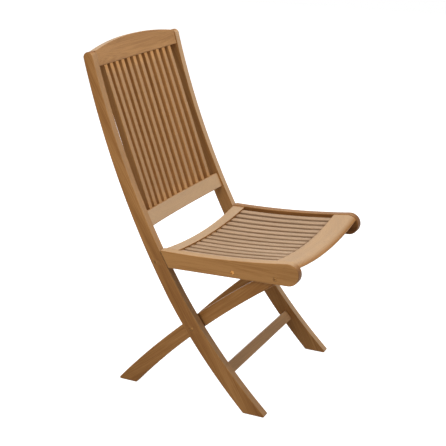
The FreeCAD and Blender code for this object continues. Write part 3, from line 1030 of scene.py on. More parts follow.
@dataclass(frozen=True)
class TeakFinish:
    """Teak: soft growth rings, fibre streaks, dark pores, and faces paled by weathering and by
    painted sheen.
    """

    name: str
    pale: Colour
    middle: Colour
    dark: Colour
    # Pale grey of bleached faces, which also serves as painted sheen.
    bleached: Colour
    ring_strength: float = 0.20
    tone_and_painted_shade_strength: float = 0.22
    ring_pitch: float = 0.0032
    ring_wander: float = 0.020
    bend_stretch: Stretch = (2.6, 30.0, 30.0)
    broad_stretch: Stretch = (2.0, 34.0, 34.0)
    streak_stretch: Stretch = (8.0, 380.0, 380.0)
    pore_stretch: Stretch = (70.0, 2600.0, 2600.0)
    broad_band: Band = (0.28, 0.72, 0.10, 0.66)
    streak_band: Band = (0.3, 0.7, -0.16, 0.22)
    pore_band: Band = (0.64, 0.72, 0.0, 1.0)
    end_band: Band = (0.3, 0.95, 0.0, 0.75)
    middle_stop: float = 0.45
    worn_share: float = 0.30
    pore_share: float = 0.40
    rough_band: Band = (0.25, 0.75, 0.58, 0.45)
    gloss: float = 0.16
    streak_height: float = 0.6
    bump_strength: float = 0.20
    bump_distance: float = 0.0005

    def rings(self, graph: MaterialGraph, grain: Socket) -> Socket:
        """Growth rings between -0.5 and 0.5.

        They are half the sine of the distance from the pith over the ring pitch, and slow
        noise along the grain lets that distance wander.

        Args:
            graph: The material's nodes.
            grain: Grain coordinates.

        Returns:
            The rings.
        """
        bend = graph.noise(graph.stretched(grain, self.bend_stretch), 1.0, 2.0)
        across = graph.add("ShaderNodeVectorMath", operation="MULTIPLY")
        graph.link(grain, across.inputs[0])
        graph.link((0.0, 1.0, 1.0), across.inputs[1])
        reach = graph.add("ShaderNodeVectorMath", operation="LENGTH")
        graph.link(across.outputs[0], reach.inputs[0])
        wander = graph.math("MULTIPLY", bend, self.ring_wander)
        radius = graph.math("ADD", reach.outputs["Value"], wander)
        turns = graph.math("MULTIPLY", radius, 2 * math.pi / self.ring_pitch)
        return graph.math("MULTIPLY", graph.math("SINE", turns), 0.5)

    def wood(self, graph: MaterialGraph, grain: Socket, streak: Socket) -> Socket:
        """Colour of the sound wood, from pale over middle to dark with its shade.

        The shade is the sum of rings, broad bands, streaks and the piece's own tone, which on
        the seat's side rails is painted light and shade.

        Args:
            graph: The material's nodes.
            grain: Grain coordinates.
            streak: Fibre streaks.

        Returns:
            The colour.
        """
        broad = graph.noise(graph.stretched(grain, self.broad_stretch), 1.0, 3.0, 0.55)
        shade = graph.math("MULTIPLY", self.rings(graph, grain), self.ring_strength)
        shade = graph.math("ADD", shade, graph.remap(broad, self.broad_band))
        shade = graph.math("ADD", shade, graph.remap(streak, self.streak_band))
        tone_and_painted_shade = graph.math("MULTIPLY", graph.attribute("tone_and_painted_shade", "Fac"), self.tone_and_painted_shade_strength)
        shade = graph.math("ADD", shade, tone_and_painted_shade, clamp=True)
        ramp = graph.add("ShaderNodeValToRGB")
        stops = ramp.color_ramp.elements
        stops[0].position, stops[0].color = 0.0, self.pale
        stops[1].position, stops[1].color = 1.0, self.dark
        stops.new(self.middle_stop).color = self.middle
        graph.link(shade, ramp.inputs[0])
        return ramp.outputs[0]

    def weathered_and_sheened(self, graph: MaterialGraph, wood: Socket) -> Socket:
        """Wood that is paler on worn edges, paler with bleaching and painted sheen, and darker
        on end grain.

        Args:
            graph: The material's nodes.
            wood: Colour of the sound wood.

        Returns:
            The colour.
        """
        wear = graph.math("MULTIPLY", graph.attribute("edge_wear", "Fac"), self.worn_share)
        worn = graph.mix(wear, wood, self.pale)
        # Bleaching and painted sheen turn faces towards the pale grey.
        worn = graph.mix(graph.attribute("bleach", "Fac"), worn, self.bleached)
        end_grain = graph.remap(graph.attribute("end_grain", "Fac"), self.end_band)
        return graph.mix(end_grain, worn, self.dark)

    def material(self) -> bpy.types.Material:
        """Build the node material.

        Streaks and pores are noise drawn out along the grain. Pores darken the weathered wood
        with its painted sheen, and streaks change its roughness and, with the pores, its
        relief.

        Returns:
            The material.
        """
        graph = MaterialGraph(self.name)
        grain = graph.attribute("grain", "Vector")
        streak = graph.noise(graph.stretched(grain, self.streak_stretch), 1.0, 4.0, 0.62)
        pitted = graph.noise(graph.stretched(grain, self.pore_stretch), 1.0, 2.0)
        pores = graph.remap(pitted, self.pore_band)
        wood = self.weathered_and_sheened(graph, self.wood(graph, grain, streak))
        graph.dress("Base Color",
                    graph.mix(graph.math("MULTIPLY", pores, self.pore_share), wood, self.dark))
        graph.dress("Roughness", graph.remap(streak, self.rough_band))
        graph.dress("Specular IOR Level", self.gloss)
        height = graph.math("SUBTRACT", graph.math("MULTIPLY", streak, self.streak_height),
                            pores)
        graph.emboss(height, self.bump_strength, self.bump_distance)
        return graph.material


@dataclass(frozen=True)
class MetalFinish:
    """Metal with cloudy tarnish and fine brushing across it."""

    name: str
    bright: Colour
    tarnished: Colour
    roughness: float
    cloud_scale: float = 220.0
    brush_stretch: Stretch = (300.0, 2500.0, 2500.0)
    tarnish_band: Band = (0.35, 0.68, 0.0, 1.0)
    polish: float = 0.08
    dulling: float = 0.15
    bump_strength: float = 0.15
    bump_distance: float = 0.0001

    def material(self) -> bpy.types.Material:
        """Build the node material: slow noise mixes the two colours, fine noise brushes it.

        Returns:
            The material.
        """
        graph = MaterialGraph(self.name)
        place = graph.add("ShaderNodeTexCoord").outputs["Object"]
        cloud = graph.noise(place, self.cloud_scale, 4.0, 0.6)
        graph.dress("Base Color", graph.mix(graph.remap(cloud, self.tarnish_band),
                                            self.bright, self.tarnished))
        graph.dress("Metallic", 1.0)
        rough_band = (0.3, 0.7, self.roughness - self.polish, self.roughness + self.dulling)
        graph.dress("Roughness", graph.remap(cloud, rough_band))
        brushed = graph.noise(graph.stretched(place, self.brush_stretch), 1.0, 2.0)
        graph.emboss(brushed, self.bump_strength, self.bump_distance)
        return graph.material


class Finish(Enum):
    """The chair's finishes, each with the record's material slot."""

    # The fourth colour of each teak finish is the pale grey of bleaching and painted sheen.
    FRAME = ("teak", TeakFinish("oiled_frame", (0.42, 0.205, 0.066, 1),
                                (0.29, 0.126, 0.032, 1), (0.15, 0.052, 0.010, 1),
                                (0.54, 0.385, 0.24, 1), ring_strength=0.15))
    BACK_SLATS = ("teak_back_slats",
                  TeakFinish("oiled_back_slats", (0.66, 0.36, 0.14, 1),
                             (0.56, 0.28, 0.095, 1), (0.32, 0.14, 0.040, 1),
                             (0.37, 0.212, 0.104, 1), tone_and_painted_shade_strength=0.30))
    SEAT_SLATS = ("teak_seat_slats",
                  TeakFinish("dry_seat_slats", (0.48, 0.32, 0.205, 1),
                             (0.38, 0.24, 0.140, 1), (0.21, 0.115, 0.055, 1),
                             (0.43, 0.295, 0.185, 1), tone_and_painted_shade_strength=0.40))
    BRASS = ("brass_fittings", MetalFinish("aged_brass", (0.60, 0.30, 0.09, 1),
                                           (0.36, 0.17, 0.05, 1), 0.5))
    DARK_BRASS = ("brass_fittings", MetalFinish("darkened_brass", (0.31, 0.155, 0.05, 1),
                                                (0.17, 0.085, 0.03, 1), 0.5))
    STEEL = ("steel_links", MetalFinish("brushed_steel", (0.56, 0.56, 0.55, 1),
                                        (0.42, 0.41, 0.40, 1), 0.34))

    def __init__(self, slot: str, recipe: TeakFinish | MetalFinish) -> None:
        """Keep the slot's name and the recipe of the material."""
        self.slot = slot
        self.recipe = recipe

    @cache
    def material(self) -> bpy.types.Material:
        """The finish's material, made at its first use."""
        return self.recipe.material()


def add_piece(node: str, surface: Surface, finish: Finish, body: Body,
              board: Board | None = None, cutter: Surface | None = None) -> None:
    """Make a piece, cut it where asked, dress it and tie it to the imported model.

    Args:
        node: The node it stands for.
        surface: Its shape.
        finish: Its finish.
        body: The body it moves with.
        board: How it was sawn, or nothing for a metal piece.
        cutter: What is cut away, if anything.
    """
    stock = "metal" if board is None else "wood"
    thing = mesh_object(f"{node}_{stock}", surface)
    if cutter is not None:
        cut_away(thing, cutter)
    smooth(thing)
    if board is not None:
        board.mark(thing)
    thing.data.materials.clear()
    thing.data.materials.append(finish.material())
    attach(thing, body.value)
    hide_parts(node)
    LOG.info("%s: %d faces on %s", thing.name, len(thing.data.polygons), body.value)


# Holes


@dataclass(frozen=True)
class BoltHole:
    """A bore through a piece, with a recess for the head where one is given."""

    centre: Array
    radius: float
    head_radius: float = 0.0
    head_depth: float = 0.0

    def cutter(self, side: Side, inner: float, outer: float) -> Surface:
        """Closed tool for a piece, which stands out of both its faces.

        Args:
            side: Which side of the chair.
            inner: Distance of the piece's inner face from the middle plane.
            outer: Distance of its outer face.

        Returns:
            The tool.
        """
        past, ease = 2.0, 0.5
        rows = [(inner - past, self.radius)]
        if self.head_radius:
            floor, mouth = outer - self.head_depth, self.head_radius + ease
            rows += [(floor, self.radius), (floor, self.head_radius),
                     (outer - ease, self.head_radius), (outer, mouth), (outer + past, mouth)]
        else:
            rows += [(outer + past, self.radius)]
        outward, radii = np.array(rows).T
        return turned_solid(self.centre, side, outward, radii)


# Sub-assemblies


@dataclass
class BackFrame:
    """Stiles, the slatted back between them and the stretcher below the seat."""

    layout: ChairLayout
    toe_radius: float = 4.0
    edge_radius: float = 2.2
    stile_inner_radius: float = 1.4
    crest_below_top: float = 32.0
    crest_end_height: float = 42.0
    crest_arch: float = 20.0
    crest_thickness: float = 23.5
    crest_setback: float = 0.2
    crest_dish: float = 9.9
    rail_below_crest: float = 407.0
    rail_height: float = 43.6
    rail_thickness: float = 23.5
    rail_setback: float = 1.1
    rail_dish: float = 16.2
    slat_count: int = 12
    slat_side_gap: float = 32.7
    slat_width: float = 15.0
    slat_thickness: float = 22.4
    slat_inset: float = 0.8
    slat_edge_radius: float = 1.2
    stretcher_station: float = 159.3
    stretcher_height: float = 30.5
    stretcher_thickness: float = 18.0
    stretcher_setback: float = 16.6
    shoulder_gap: float = 0.1
    bolt_radius: float = 4.05
    pin_radius: float = 3.05
    recess_radius: float = 5.8
    recess_depth: float = 2.8

    @property
    def crest_station(self) -> float:
        """Station of the crest rail's lower edge."""
        return self.layout.top - self.crest_below_top

    @property
    def rail_station(self) -> float:
        """Station of the lower back rail's upper edge."""
        return self.crest_station - self.rail_below_crest

    def build(self) -> None:
        """Make every wooden piece of the back frame."""
        for side in Side:
            self.stile(side)
        self.crest_rail()
        self.lower_rail()
        self.stretcher()
        for number in range(1, self.slat_count + 1):
            self.back_slat(number)

    def stile(self, side: Side) -> None:
        """Stile between its front and rear edge, with eased toes and a rounded top.

        Args:
            side: Which stile.
        """
        layout = self.layout
        near_floor = np.linspace(-60, 120, 181)
        low_front = crossing_of(layout.stile_front(near_floor)[:, 1], near_floor)
        low_rear = crossing_of(layout.stile_rear(near_floor)[:, 1], near_floor)
        toe_stations = np.array([0.0, 9.0])
        front_foot, front_shin = layout.stile_front(low_front + toe_stations)
        rear_foot, rear_shin = layout.stile_rear(low_rear + toe_stations)
        front_toe = round_corner(rear_foot, front_foot, front_shin, self.toe_radius)
        rear_toe = round_corner(front_foot, rear_foot, rear_shin, self.toe_radius)
        shares = np.linspace(0, 1, 60)[1:]
        front = layout.stile_front(low_front + shares * (layout.top - low_front))
        rear = layout.stile_rear(low_rear + shares * (layout.top - low_rear))
        tip = layout.stile_bow.points(np.array(layout.top + layout.top_round_height),
                                      layout.stile_depths[-1] / 2 - layout.stile_leads[-1])
        front_crown, rear_crown = cap_halves(front[-1], tip, rear[-1], 7)
        near = np.concatenate((front_toe, front, front_crown))
        far = np.concatenate((rear_toe, rear, rear_crown))
        surface = planed_block(near, far, side_view(layout.stile_inner, side),
                               layout.stile_thickness,
                               (self.stile_inner_radius, self.edge_radius))
        holes = joined([
            BoltHole(centre, radius, self.recess_radius, self.recess_depth).cutter(
                side, layout.stile_inner, layout.half_width)
            for centre, radius in ((layout.crossing, self.bolt_radius),
                                   (layout.link_pin, self.pin_radius))])
        # Painted sheen with bleaching on the front faces, which face the front light; its share
        # differs per side.
        board = Board((0, 0.55, 1), (1, 0, 0), seed=10 + side.value, tone_and_painted_shade=-0.45,
                      sun={Side.RIGHT: 0.25, Side.LEFT: 0.5}[side], sky=(0, -1, 0.4))
        add_piece(f"stile_{side.word}", surface, Finish.FRAME, Body.BACK_FRAME, board, holes)

    def across(self, station: float) -> Placement:
        """Placement square to the bow: X, up along the bow, and rearwards for the thickness.

        Args:
            station: Length along the bow.

        Returns:
            The placement.
        """
        y, z, heading = (float(value) for value in self.layout.stile_bow.at(np.array(station)))
        upward = np.array([0, math.cos(heading), math.sin(heading)])
        rearward = np.array([0, math.sin(heading), -math.cos(heading)])
        return Placement(np.array([0, y, z]), X_AXIS, upward, rearward)

    def crest_front(self, x: Array) -> Array:
        """Setback of the crest rail's hollow front at x."""
        return self.crest_setback + hollow_depth(x, self.layout.inner_width, self.crest_dish)

    def rail_front(self, x: Array) -> Array:
        """Setback of the lower rail's hollow front at x."""
        return self.rail_setback + hollow_depth(x, self.layout.inner_width, self.rail_dish)

    def bent_board(self, node: str, low: Array, high: Array, place: Placement,
                   thickness: float, front: Array, board: Board) -> None:
        """Board between the stiles whose faces bow rearwards.

        Every point moves rearwards by the setback of the front face at its x.

        Args:
            node: Its node.
            low: Rows of x and height along the lower edge.
            high: The upper edge, point for point.
            place: Where the outline lies.
            thickness: Its thickness.
            front: Setback of the front face at each point of the lower edge.
            board: How it was sawn and how it has aged.
        """
        surface = planed_block(low, high, place, thickness,
                               (self.edge_radius, self.edge_radius), keep_ends=True)
        shift = np.interp(surface.points[:, 0], low[:, 0], front)
        surface.points += shift[:, None] * place.through
        add_piece(node, surface, Finish.FRAME, Body.BACK_FRAME, board)

    def crest_rail(self) -> None:
        """Crest rail with a straight lower edge and an arched upper one."""
        half = self.layout.stile_inner
        high = arc_through(np.array([-half, self.crest_end_height]),
                           np.array([0, self.crest_end_height + self.crest_arch]),
                           np.array([half, self.crest_end_height]), RAIL_POINTS)
        low = high * [1, 0]
        self.bent_board("crest_rail", low, high, self.across(self.crest_station),
                        self.crest_thickness, self.crest_front(low[:, 0]),
                        Board((1, 0, 0), (0, 1, 0.2), seed=30, bleach=0.12, tone_and_painted_shade=-0.1))

    def lower_rail(self) -> None:
        """Lower back rail, whose upper edge is at its station."""
        x = np.linspace(-self.layout.stile_inner, self.layout.stile_inner, RAIL_POINTS)
        high = np.stack((x, np.zeros_like(x)), axis=-1)
        low = high - [0, self.rail_height]
        self.bent_board("lower_back_rail", low, high, self.across(self.rail_station),
                        self.rail_thickness, self.rail_front(x),
                        # The front face is paled by painted sheen as well as by bleaching.
                        Board((1, 0, 0), (0, 1, 0.2), seed=31, bleach=0.2, sun=0.68,
                              sky=(0, -1, 0.3)))

    def stretcher(self) -> None:
        """Flat board low between the stiles, half above its station."""
        x = np.linspace(-self.layout.stile_inner, self.layout.stile_inner, 25)
        high = np.stack((x, np.full_like(x, self.stretcher_height / 2)), axis=-1)
        low = high - [0, self.stretcher_height]
        self.bent_board("front_stretcher", low, high, self.across(self.stretcher_station),
                        self.stretcher_thickness, np.full_like(x, self.stretcher_setback),
                        Board((1, 0, 0), (0, 1, 0.2), seed=32, bleach=0.3, tone_and_painted_shade=-0.7))

    def back_slat(self, number: int) -> None:
        """Straight slat between the hollow fronts of the lower rail and the crest rail.

        Args:
            number: Its number from the right.
        """
        outermost = self.layout.stile_inner - self.slat_side_gap - self.slat_width / 2
        x = spread(number, self.slat_count, outermost)
        ends = np.array([self.rail_station + self.shoulder_gap,
                         self.crest_station - self.shoulder_gap])
        at_x = np.array([x])
        setback = self.slat_inset + np.concatenate((self.rail_front(at_x),
                                                    self.crest_front(at_x)))
        share = np.linspace(0, 1, 13)[:, None]
        front_ends = self.layout.stile_bow.points(ends, setback)
        rear_ends = self.layout.stile_bow.points(ends, setback + self.slat_thickness)
        front = front_ends[0] + share * (front_ends[1] - front_ends[0])
        rear = rear_ends[0] + share * (rear_ends[1] - rear_ends[0])
        placement = Placement((x - self.slat_width / 2) * X_AXIS, Y_AXIS, Z_AXIS, X_AXIS)
        surface = planed_block(front, rear, placement, self.slat_width,
                               (self.slat_edge_radius, self.slat_edge_radius),
                               keep_ends=True)
        # The front faces are paled by painted sheen as well as by bleaching.
        board = Board((0, 0.28, 1), (0, 1, -0.28), seed=100 + number, sun=0.9,
                      sky=(0, -1, 0.28))
        add_piece(f"back_slat_{number:02d}", surface, Finish.BACK_SLATS, Body.BACK_FRAME,
                  board)


@dataclass
class RearLegs:
    """The two crossed rear legs and the rung between them."""

    layout: ChairLayout
    toe_radius: float = 4.0
    edge_radius: float = 2.2
    bolt_radius: float = 4.05
    seat_bolt_radius: float = 3.05
    rung_radius: float = 10.0
    rung_taper: float = 0.09
    rung_distance: float = 50.0
    rung_offset: float = 6.0

    def build(self) -> None:
        """Make the wooden pieces of the rear legs."""
        for side in Side:
            self.leg(side)
        self.rung()

    def leg(self, side: Side) -> None:
        """Rear leg between its upper and lower edge, with a half round at the seat pivot.

        Args:
            side: Which leg.
        """
        layout = self.layout
        bow, reach = layout.leg_bow, layout.leg_reach
        near_floor = np.linspace(-1.5 * reach, -0.7 * reach, 1001)
        half = layout.leg_half_width(near_floor)
        rear_sole = crossing_of(bow.points(near_floor, half)[:, 1], near_floor)
        front_sole = crossing_of(bow.points(near_floor, -half)[:, 1], near_floor)
        share = np.linspace(0, 1, 50)

        def edge(sole: float, sign: int) -> Array:
            """Edge from its sole to the pivot, on that side of the middle line."""
            stations = sole + share * (reach - sole)
            return bow.points(stations, sign * layout.leg_half_width(stations))

        upper, lower = edge(rear_sole, 1), edge(front_sole, -1)
        rear_toe = round_corner(lower[0], upper[0], upper[1], self.toe_radius)
        front_toe = round_corner(upper[0], lower[0], lower[1], self.toe_radius)
        tip = bow.points(np.array(reach + layout.leg_half_width(np.array(reach))))
        upper_crown, lower_crown = cap_halves(upper[-1], tip, lower[-1], 9)
        near = np.concatenate((rear_toe, upper[1:], upper_crown))
        far = np.concatenate((front_toe, lower[1:], lower_crown))
        surface = planed_block(near, far, side_view(layout.leg_inner, side),
                               layout.leg_thickness, (self.edge_radius, self.edge_radius))
        holes = joined([BoltHole(centre, radius).cutter(side, layout.leg_inner,
                                                        layout.leg_outer)
                        for centre, radius in ((layout.crossing, self.bolt_radius),
                                               (layout.seat_pivot, self.seat_bolt_radius))])
        # Little bleaching and painted sheen on the legs' upper faces.
        board = Board((0, -0.7, 0.55), (1, 0, 0), seed=20 + side.value, sun=0.1)
        add_piece(f"rear_leg_{side.word}", surface, Finish.FRAME, Body.REAR_LEGS, board, holes)

    def rung(self) -> None:
        """Dowel with a slight belly and shouldered ends.

        The radius falls by the fourth power of the distance from the middle, so that the belly
        is long and flat.
        """
        centre = self.layout.leg_bow.points(
            np.array(self.layout.leg_reach - self.rung_distance), self.rung_offset)
        x = np.linspace(-self.layout.leg_inner, self.layout.leg_inner, 41)
        radii = self.rung_radius * (1 - self.rung_taper * (x / self.layout.leg_inner) ** 4)
        add_piece("rear_leg_rung", turned_solid(centre, Side.LEFT, x, radii), Finish.FRAME,
                  Body.REAR_LEGS, Board((1, 0, 0), (0, 1, 0), seed=25))


@dataclass
class Seat:
    """Side rails, the boards across them and the slats between the boards."""

    layout: ChairLayout
    edge_radius: float = 2.2
    rail_stile_gap: float = 1.2
    corner_radius: float = 3.0
    front_inset: float = 3.3
    front_width: float = 72.5
    front_thickness: float = 17.0
    front_drop: float = 1.5
    front_dish: float = 18.0
    front_lip_radius: float = 2.5
    front_end_radius: float = 0.3
    board_edge_radius: float = 1.5
    rear_inset: float = 1.0
    rear_thickness: float = 18.0
    rear_drop: float = 2.0
    rear_dish: float = 13.0
    rear_edge_radius: float = 2.5
    slat_length: float = 287.0
    slat_count: int = 13
    slat_side_gap: float = 10.65
    slat_width: float = 19.5
    slat_thickness: float = 14.0
    slat_drop: float = 6.0
    slat_dish: float = 13.0
    batten_length: float = 340.0
    batten_width: float = 40.0
    batten_thickness: float = 12.0
    shoulder_gap: float = 0.1
    face_gap: float = 0.3
    bolt_radius: float = 3.05
    recess_radius: float = 5.8
    recess_depth: float = 2.8

    @property
    def front_rear(self) -> float:
        """Rear edge of the front seat rail, in the seat frame."""
        return (self.layout.nose_centre[0] - self.layout.nose_radius + self.front_inset
                + self.front_width)

    @property
    def rear_front(self) -> float:
        """Front edge of the rear seat rail, in the seat frame."""
        return self.front_rear + self.slat_length

    @property
    def middle(self) -> float:
        """Half-way along the slats."""
        return (self.front_rear + self.rear_front) / 2

    def build(self) -> None:
        """Make the wooden pieces of the seat."""
        for side in Side:
            self.side_rail(side)
        self.front_rail()
        self.rear_rail()
        self.batten()
        for number in range(1, self.slat_count + 1):
            self.slat(number)

    @cached_property
    def rail_ends(self) -> tuple[Array, Array]:
        """Corners of the side rails' sloping ends, in the seat frame.

        Both lie at the gap in front of the stiles: one at the height of the rails' lower
        edge, and the other on the seat curve.

        Returns:
            The lower and the upper corner.
        """
        layout = self.layout
        marks = np.linspace(layout.knee, layout.top - layout.knee / 2, 8001)
        beside = layout.on_seat(layout.stile_front(marks, self.rail_stile_gap))
        low = crossing_of(beside[:, 1] - layout.rail_bottom, marks)
        high = crossing_of(beside[:, 1] - layout.on_curve(beside[:, 0])[:, 1], marks)
        ends = layout.stile_front(np.array([low, high]), self.rail_stile_gap)
        low_end, high_end = layout.on_seat(ends)
        return low_end, high_end

    def side_rail(self, side: Side) -> None:
        """Side rail: half-round nose, straight lower edge, curved upper edge, sloping end.

        Args:
            side: Which rail.
        """
        layout = self.layout
        low_end, high_end = self.rail_ends
        top_angle, low_angle = 90 - layout.nose_break, 270
        split = (top_angle + low_angle) / 2
        count = 20
        half_step = (low_angle - top_angle) / (4 * count)

        def nose(start: float, end: float) -> Array:
            """Points round the nose between two angles in degrees."""
            angle = np.radians(np.linspace(start, end, count))
            return layout.nose_centre + layout.nose_radius * np.stack(
                (np.cos(angle), np.sin(angle)), axis=-1)

        share = np.linspace(0, 1, 2 * count)
        low_nose = nose(split + half_step, low_angle)
        high_nose = nose(split - half_step, top_angle)
        low_corner = round_corner(low_nose[-1], low_end, high_end, self.corner_radius)
        along = high_nose[-1][0] + share[1:] * (high_end[0] - high_nose[-1][0])
        top = layout.on_curve(along)
        high_corner = round_corner(top[-2], high_end, low_end, self.corner_radius)
        bottom = low_nose[-1] + share[1:-1, None] * (low_corner[0] - low_nose[-1])
        low_edge = np.concatenate((low_nose, bottom, low_corner))
        high_edge = np.concatenate((high_nose, top[:-1], high_corner))
        surface = planed_block(layout.on_chair(low_edge), layout.on_chair(high_edge),
                               side_view(layout.stile_inner, side), layout.stile_thickness,
                               (self.edge_radius, self.edge_radius))
        holes = joined([
            BoltHole(centre, self.bolt_radius, self.recess_radius, self.recess_depth).cutter(
                side, layout.stile_inner, layout.half_width)
            for centre in (layout.seat_pivot, layout.link_seat)])
        # Painted light and shade: the near right rail is paler and the far left rail darker,
        # with less painted sheen on its top.
        tone_and_painted_shade, sun = {Side.RIGHT: (-1.3, 0.55), Side.LEFT: (1.3, 0.15)}[side]
        board = Board((0, 1, 0), (1, 0, 0), seed=40 + side.value, tone_and_painted_shade=tone_and_painted_shade, sun=sun)
        add_piece(f"seat_side_rail_{side.word}", surface, Finish.FRAME, Body.SEAT, board,
                  holes)

    def front_section(self, centre: Array) -> tuple[Array, Array]:
        """Section of the front rail, whose top rounds over like the noses beside it.

        In the board's frame v runs forwards from its rear face and w up. The top is flat as
        far as the noses' centre and then an arc about it. The arc's lower end is rounded into
        the flat bottom.

        Args:
            centre: The noses' centre in the board's frame.

        Returns:
            The lower and the upper edge, point for point, from the rear face forwards.
        """
        top, bottom = -self.front_drop, -self.front_drop - self.front_thickness
        radius = top - centre[1]
        lip_half, flat_count, arc_count = 4, 6, 19

        def on_arc(angle: Array | float) -> Array:
            """Points of the nose arc at angles from forwards, counted upwards."""
            return centre + radius * np.stack((np.cos(angle), np.sin(angle)), axis=-1)

        rear_low, rear_high = np.array([0, bottom]), np.array([0, top])
        low_angle = math.asin((bottom - centre[1]) / radius)
        corner, above = on_arc(low_angle), on_arc(low_angle + 0.1)
        lip = round_corner(rear_low, corner, above, self.front_lip_radius, 2 * lip_half)
        lip_angle = low_angle + np.linalg.norm(lip[-1] - corner) / radius
        over = on_arc(np.linspace(math.pi / 2, lip_angle, arc_count + 1)[:-1])
        flat = np.linspace(rear_high, [centre[0], top], flat_count + 2)[1:-1]
        high_corner = round_corner(rear_low, rear_high, np.array([centre[0], top]),
                                   self.board_edge_radius)
        high = np.concatenate((high_corner, flat, over, lip[lip_half:][::-1]))
        low_corner = round_corner(rear_high, rear_low, np.array([centre[0], bottom]),
                                  self.board_edge_radius)
        under_count = len(high) - len(low_corner) - lip_half
        under = np.linspace([self.board_edge_radius, bottom], [lip[0][0], bottom],
                            under_count + 2)[1:-1]
        return np.concatenate((low_corner, under, lip[:lip_half])), high

    def front_rail(self) -> None:
        """Front seat rail: its section carried from side to side and sunk with the dish."""
        layout = self.layout
        start = layout.on_curve(self.front_rear)
        to_centre = turned(layout.nose_centre - start, -layout.curve_slope(self.front_rear))
        low, high = self.front_section(to_centre * [-1, 1])
        rearwards, upward = layout.board_axes(self.front_rear)
        origin = np.array([-layout.stile_inner, *layout.on_chair(start)])
        surface = planed_block(low, high, Placement(origin, -rearwards, upward, X_AXIS),
                               layout.inner_width,
                               (self.front_end_radius, self.front_end_radius), between=39)
        fall = hollow_depth(surface.points[:, 0], layout.inner_width, self.front_dish)
        surface.points -= fall[:, None] * upward
        add_piece("front_seat_rail", surface, Finish.FRAME, Body.SEAT,
                  Board((1, 0, 0), (0, 0.1, 1), seed=50))

    def rear_rail(self) -> None:
        """Rear seat rail, whose rear face slopes with the side rails' ends.

        In the frame of the board, with v along the curve and w square to it, the sloping face
        is the line v = reach + skew * w through the side rails' two corners.
        """
        layout = self.layout
        ends = np.stack(self.rail_ends) - [self.rear_inset, 0]
        low, high = turned(ends - layout.on_curve(self.rear_front),
                           -layout.curve_slope(self.rear_front))
        skew = (high[0] - low[0]) / (high[1] - low[1])
        reach = float(high[0] - skew * high[1])
        self.dished_board("rear_seat_rail", self.rear_front, layout.stile_inner,
                          (self.rear_drop, self.rear_dish, self.rear_thickness), reach,
                          (self.board_edge_radius, self.rear_edge_radius), 51, float(skew))

    def batten(self) -> None:
        """Batten across the undersides of the slats."""
        shape = (self.slat_drop + self.slat_thickness + self.face_gap, self.slat_dish,
                 self.batten_thickness)
        self.dished_board("seat_support_batten", self.middle, self.batten_length / 2, shape,
                          self.batten_width,
                          (self.board_edge_radius, self.board_edge_radius), 52)

    def dished_board(self, node: str, rearward: float, half_span: float,
                     shape: tuple[float, float, float], width: float,
                     roundings: tuple[float, float], seed: int, skew: float = 0.0) -> None:
        """Board across the seat whose top and bottom are arcs.

        The drop at x is the rim's drop plus the hollow's depth. With a skew, a point moves
        along the width by its share of the width, times its height, times the skew.

        Args:
            node: Its node.
            rearward: Where its front face stands in the seat frame.
            half_span: Half its length.
            shape: Drop of the rim, depth of the dish and thickness.
            width: Its width.
            roundings: Edge radius at the front face and at the rear face.
            seed: Seed of its grain.
            skew: Slope of the rear face from the square.
        """
        layout = self.layout
        rim, dish, thickness = shape
        x = np.linspace(-half_span, half_span, 41)
        drop = rim + hollow_depth(x, layout.inner_width, dish)
        high = np.stack((x, -drop), axis=-1)
        low = high - [0, thickness]
        rearwards, upward = layout.board_axes(rearward)
        origin = np.array([0, *layout.on_chair(layout.on_curve(rearward))])
        surface = planed_block(low, high, Placement(origin, X_AXIS, upward, rearwards), width,
                               roundings, keep_ends=True, steps=5)
        local = surface.points - origin
        shift = local @ rearwards / width * (local @ upward) * skew
        surface.points += shift[:, None] * rearwards
        add_piece(node, surface, Finish.FRAME, Body.SEAT,
                  # The tops are paled by painted sheen as well as by bleaching.
                  Board((1, 0, 0), (0, 0.1, 1), seed=seed, sun=0.75))

    def slat(self, number: int) -> None:
        """Slat along the seat, sunk and tipped with the dish.

        Args:
            number: Its number from the right.
        """
        layout = self.layout
        outermost = layout.stile_inner - self.slat_side_gap - self.slat_width / 2
        x = spread(number, self.slat_count, outermost)
        lean = math.asin(x / arc_radius(layout.inner_width, self.slat_dish))
        drop = self.slat_drop + float(hollow_depth(np.array(x), layout.inner_width,
                                                   self.slat_dish))
        pivot = layout.on_curve(self.middle, drop + self.slat_thickness / 2)
        rearward = np.linspace(self.front_rear + self.shoulder_gap,
                               self.rear_front - self.shoulder_gap, 25)
        top = layout.on_curve(rearward, drop) - pivot
        bottom = layout.on_curve(rearward, drop + self.slat_thickness) - pivot
        tilt = math.radians(layout.seat_tilt)
        along = np.array([0, math.cos(tilt), -math.sin(tilt)])
        square = np.array([0, math.sin(tilt), math.cos(tilt)])
        sideways = math.cos(lean) * X_AXIS + math.sin(lean) * square
        upward = math.cos(lean) * square - math.sin(lean) * X_AXIS
        centre = np.array([x, *layout.on_chair(pivot)])
        placement = Placement(centre - sideways * self.slat_width / 2, along, upward, sideways)
        surface = planed_block(bottom, top, placement, self.slat_width,
                               (self.edge_radius, self.edge_radius), keep_ends=True)
        board = Board(tuple(along), tuple(upward), seed=200 + number)
        add_piece(f"seat_slat_{number:02d}", surface, Finish.SEAT_SLATS, Body.SEAT, board)


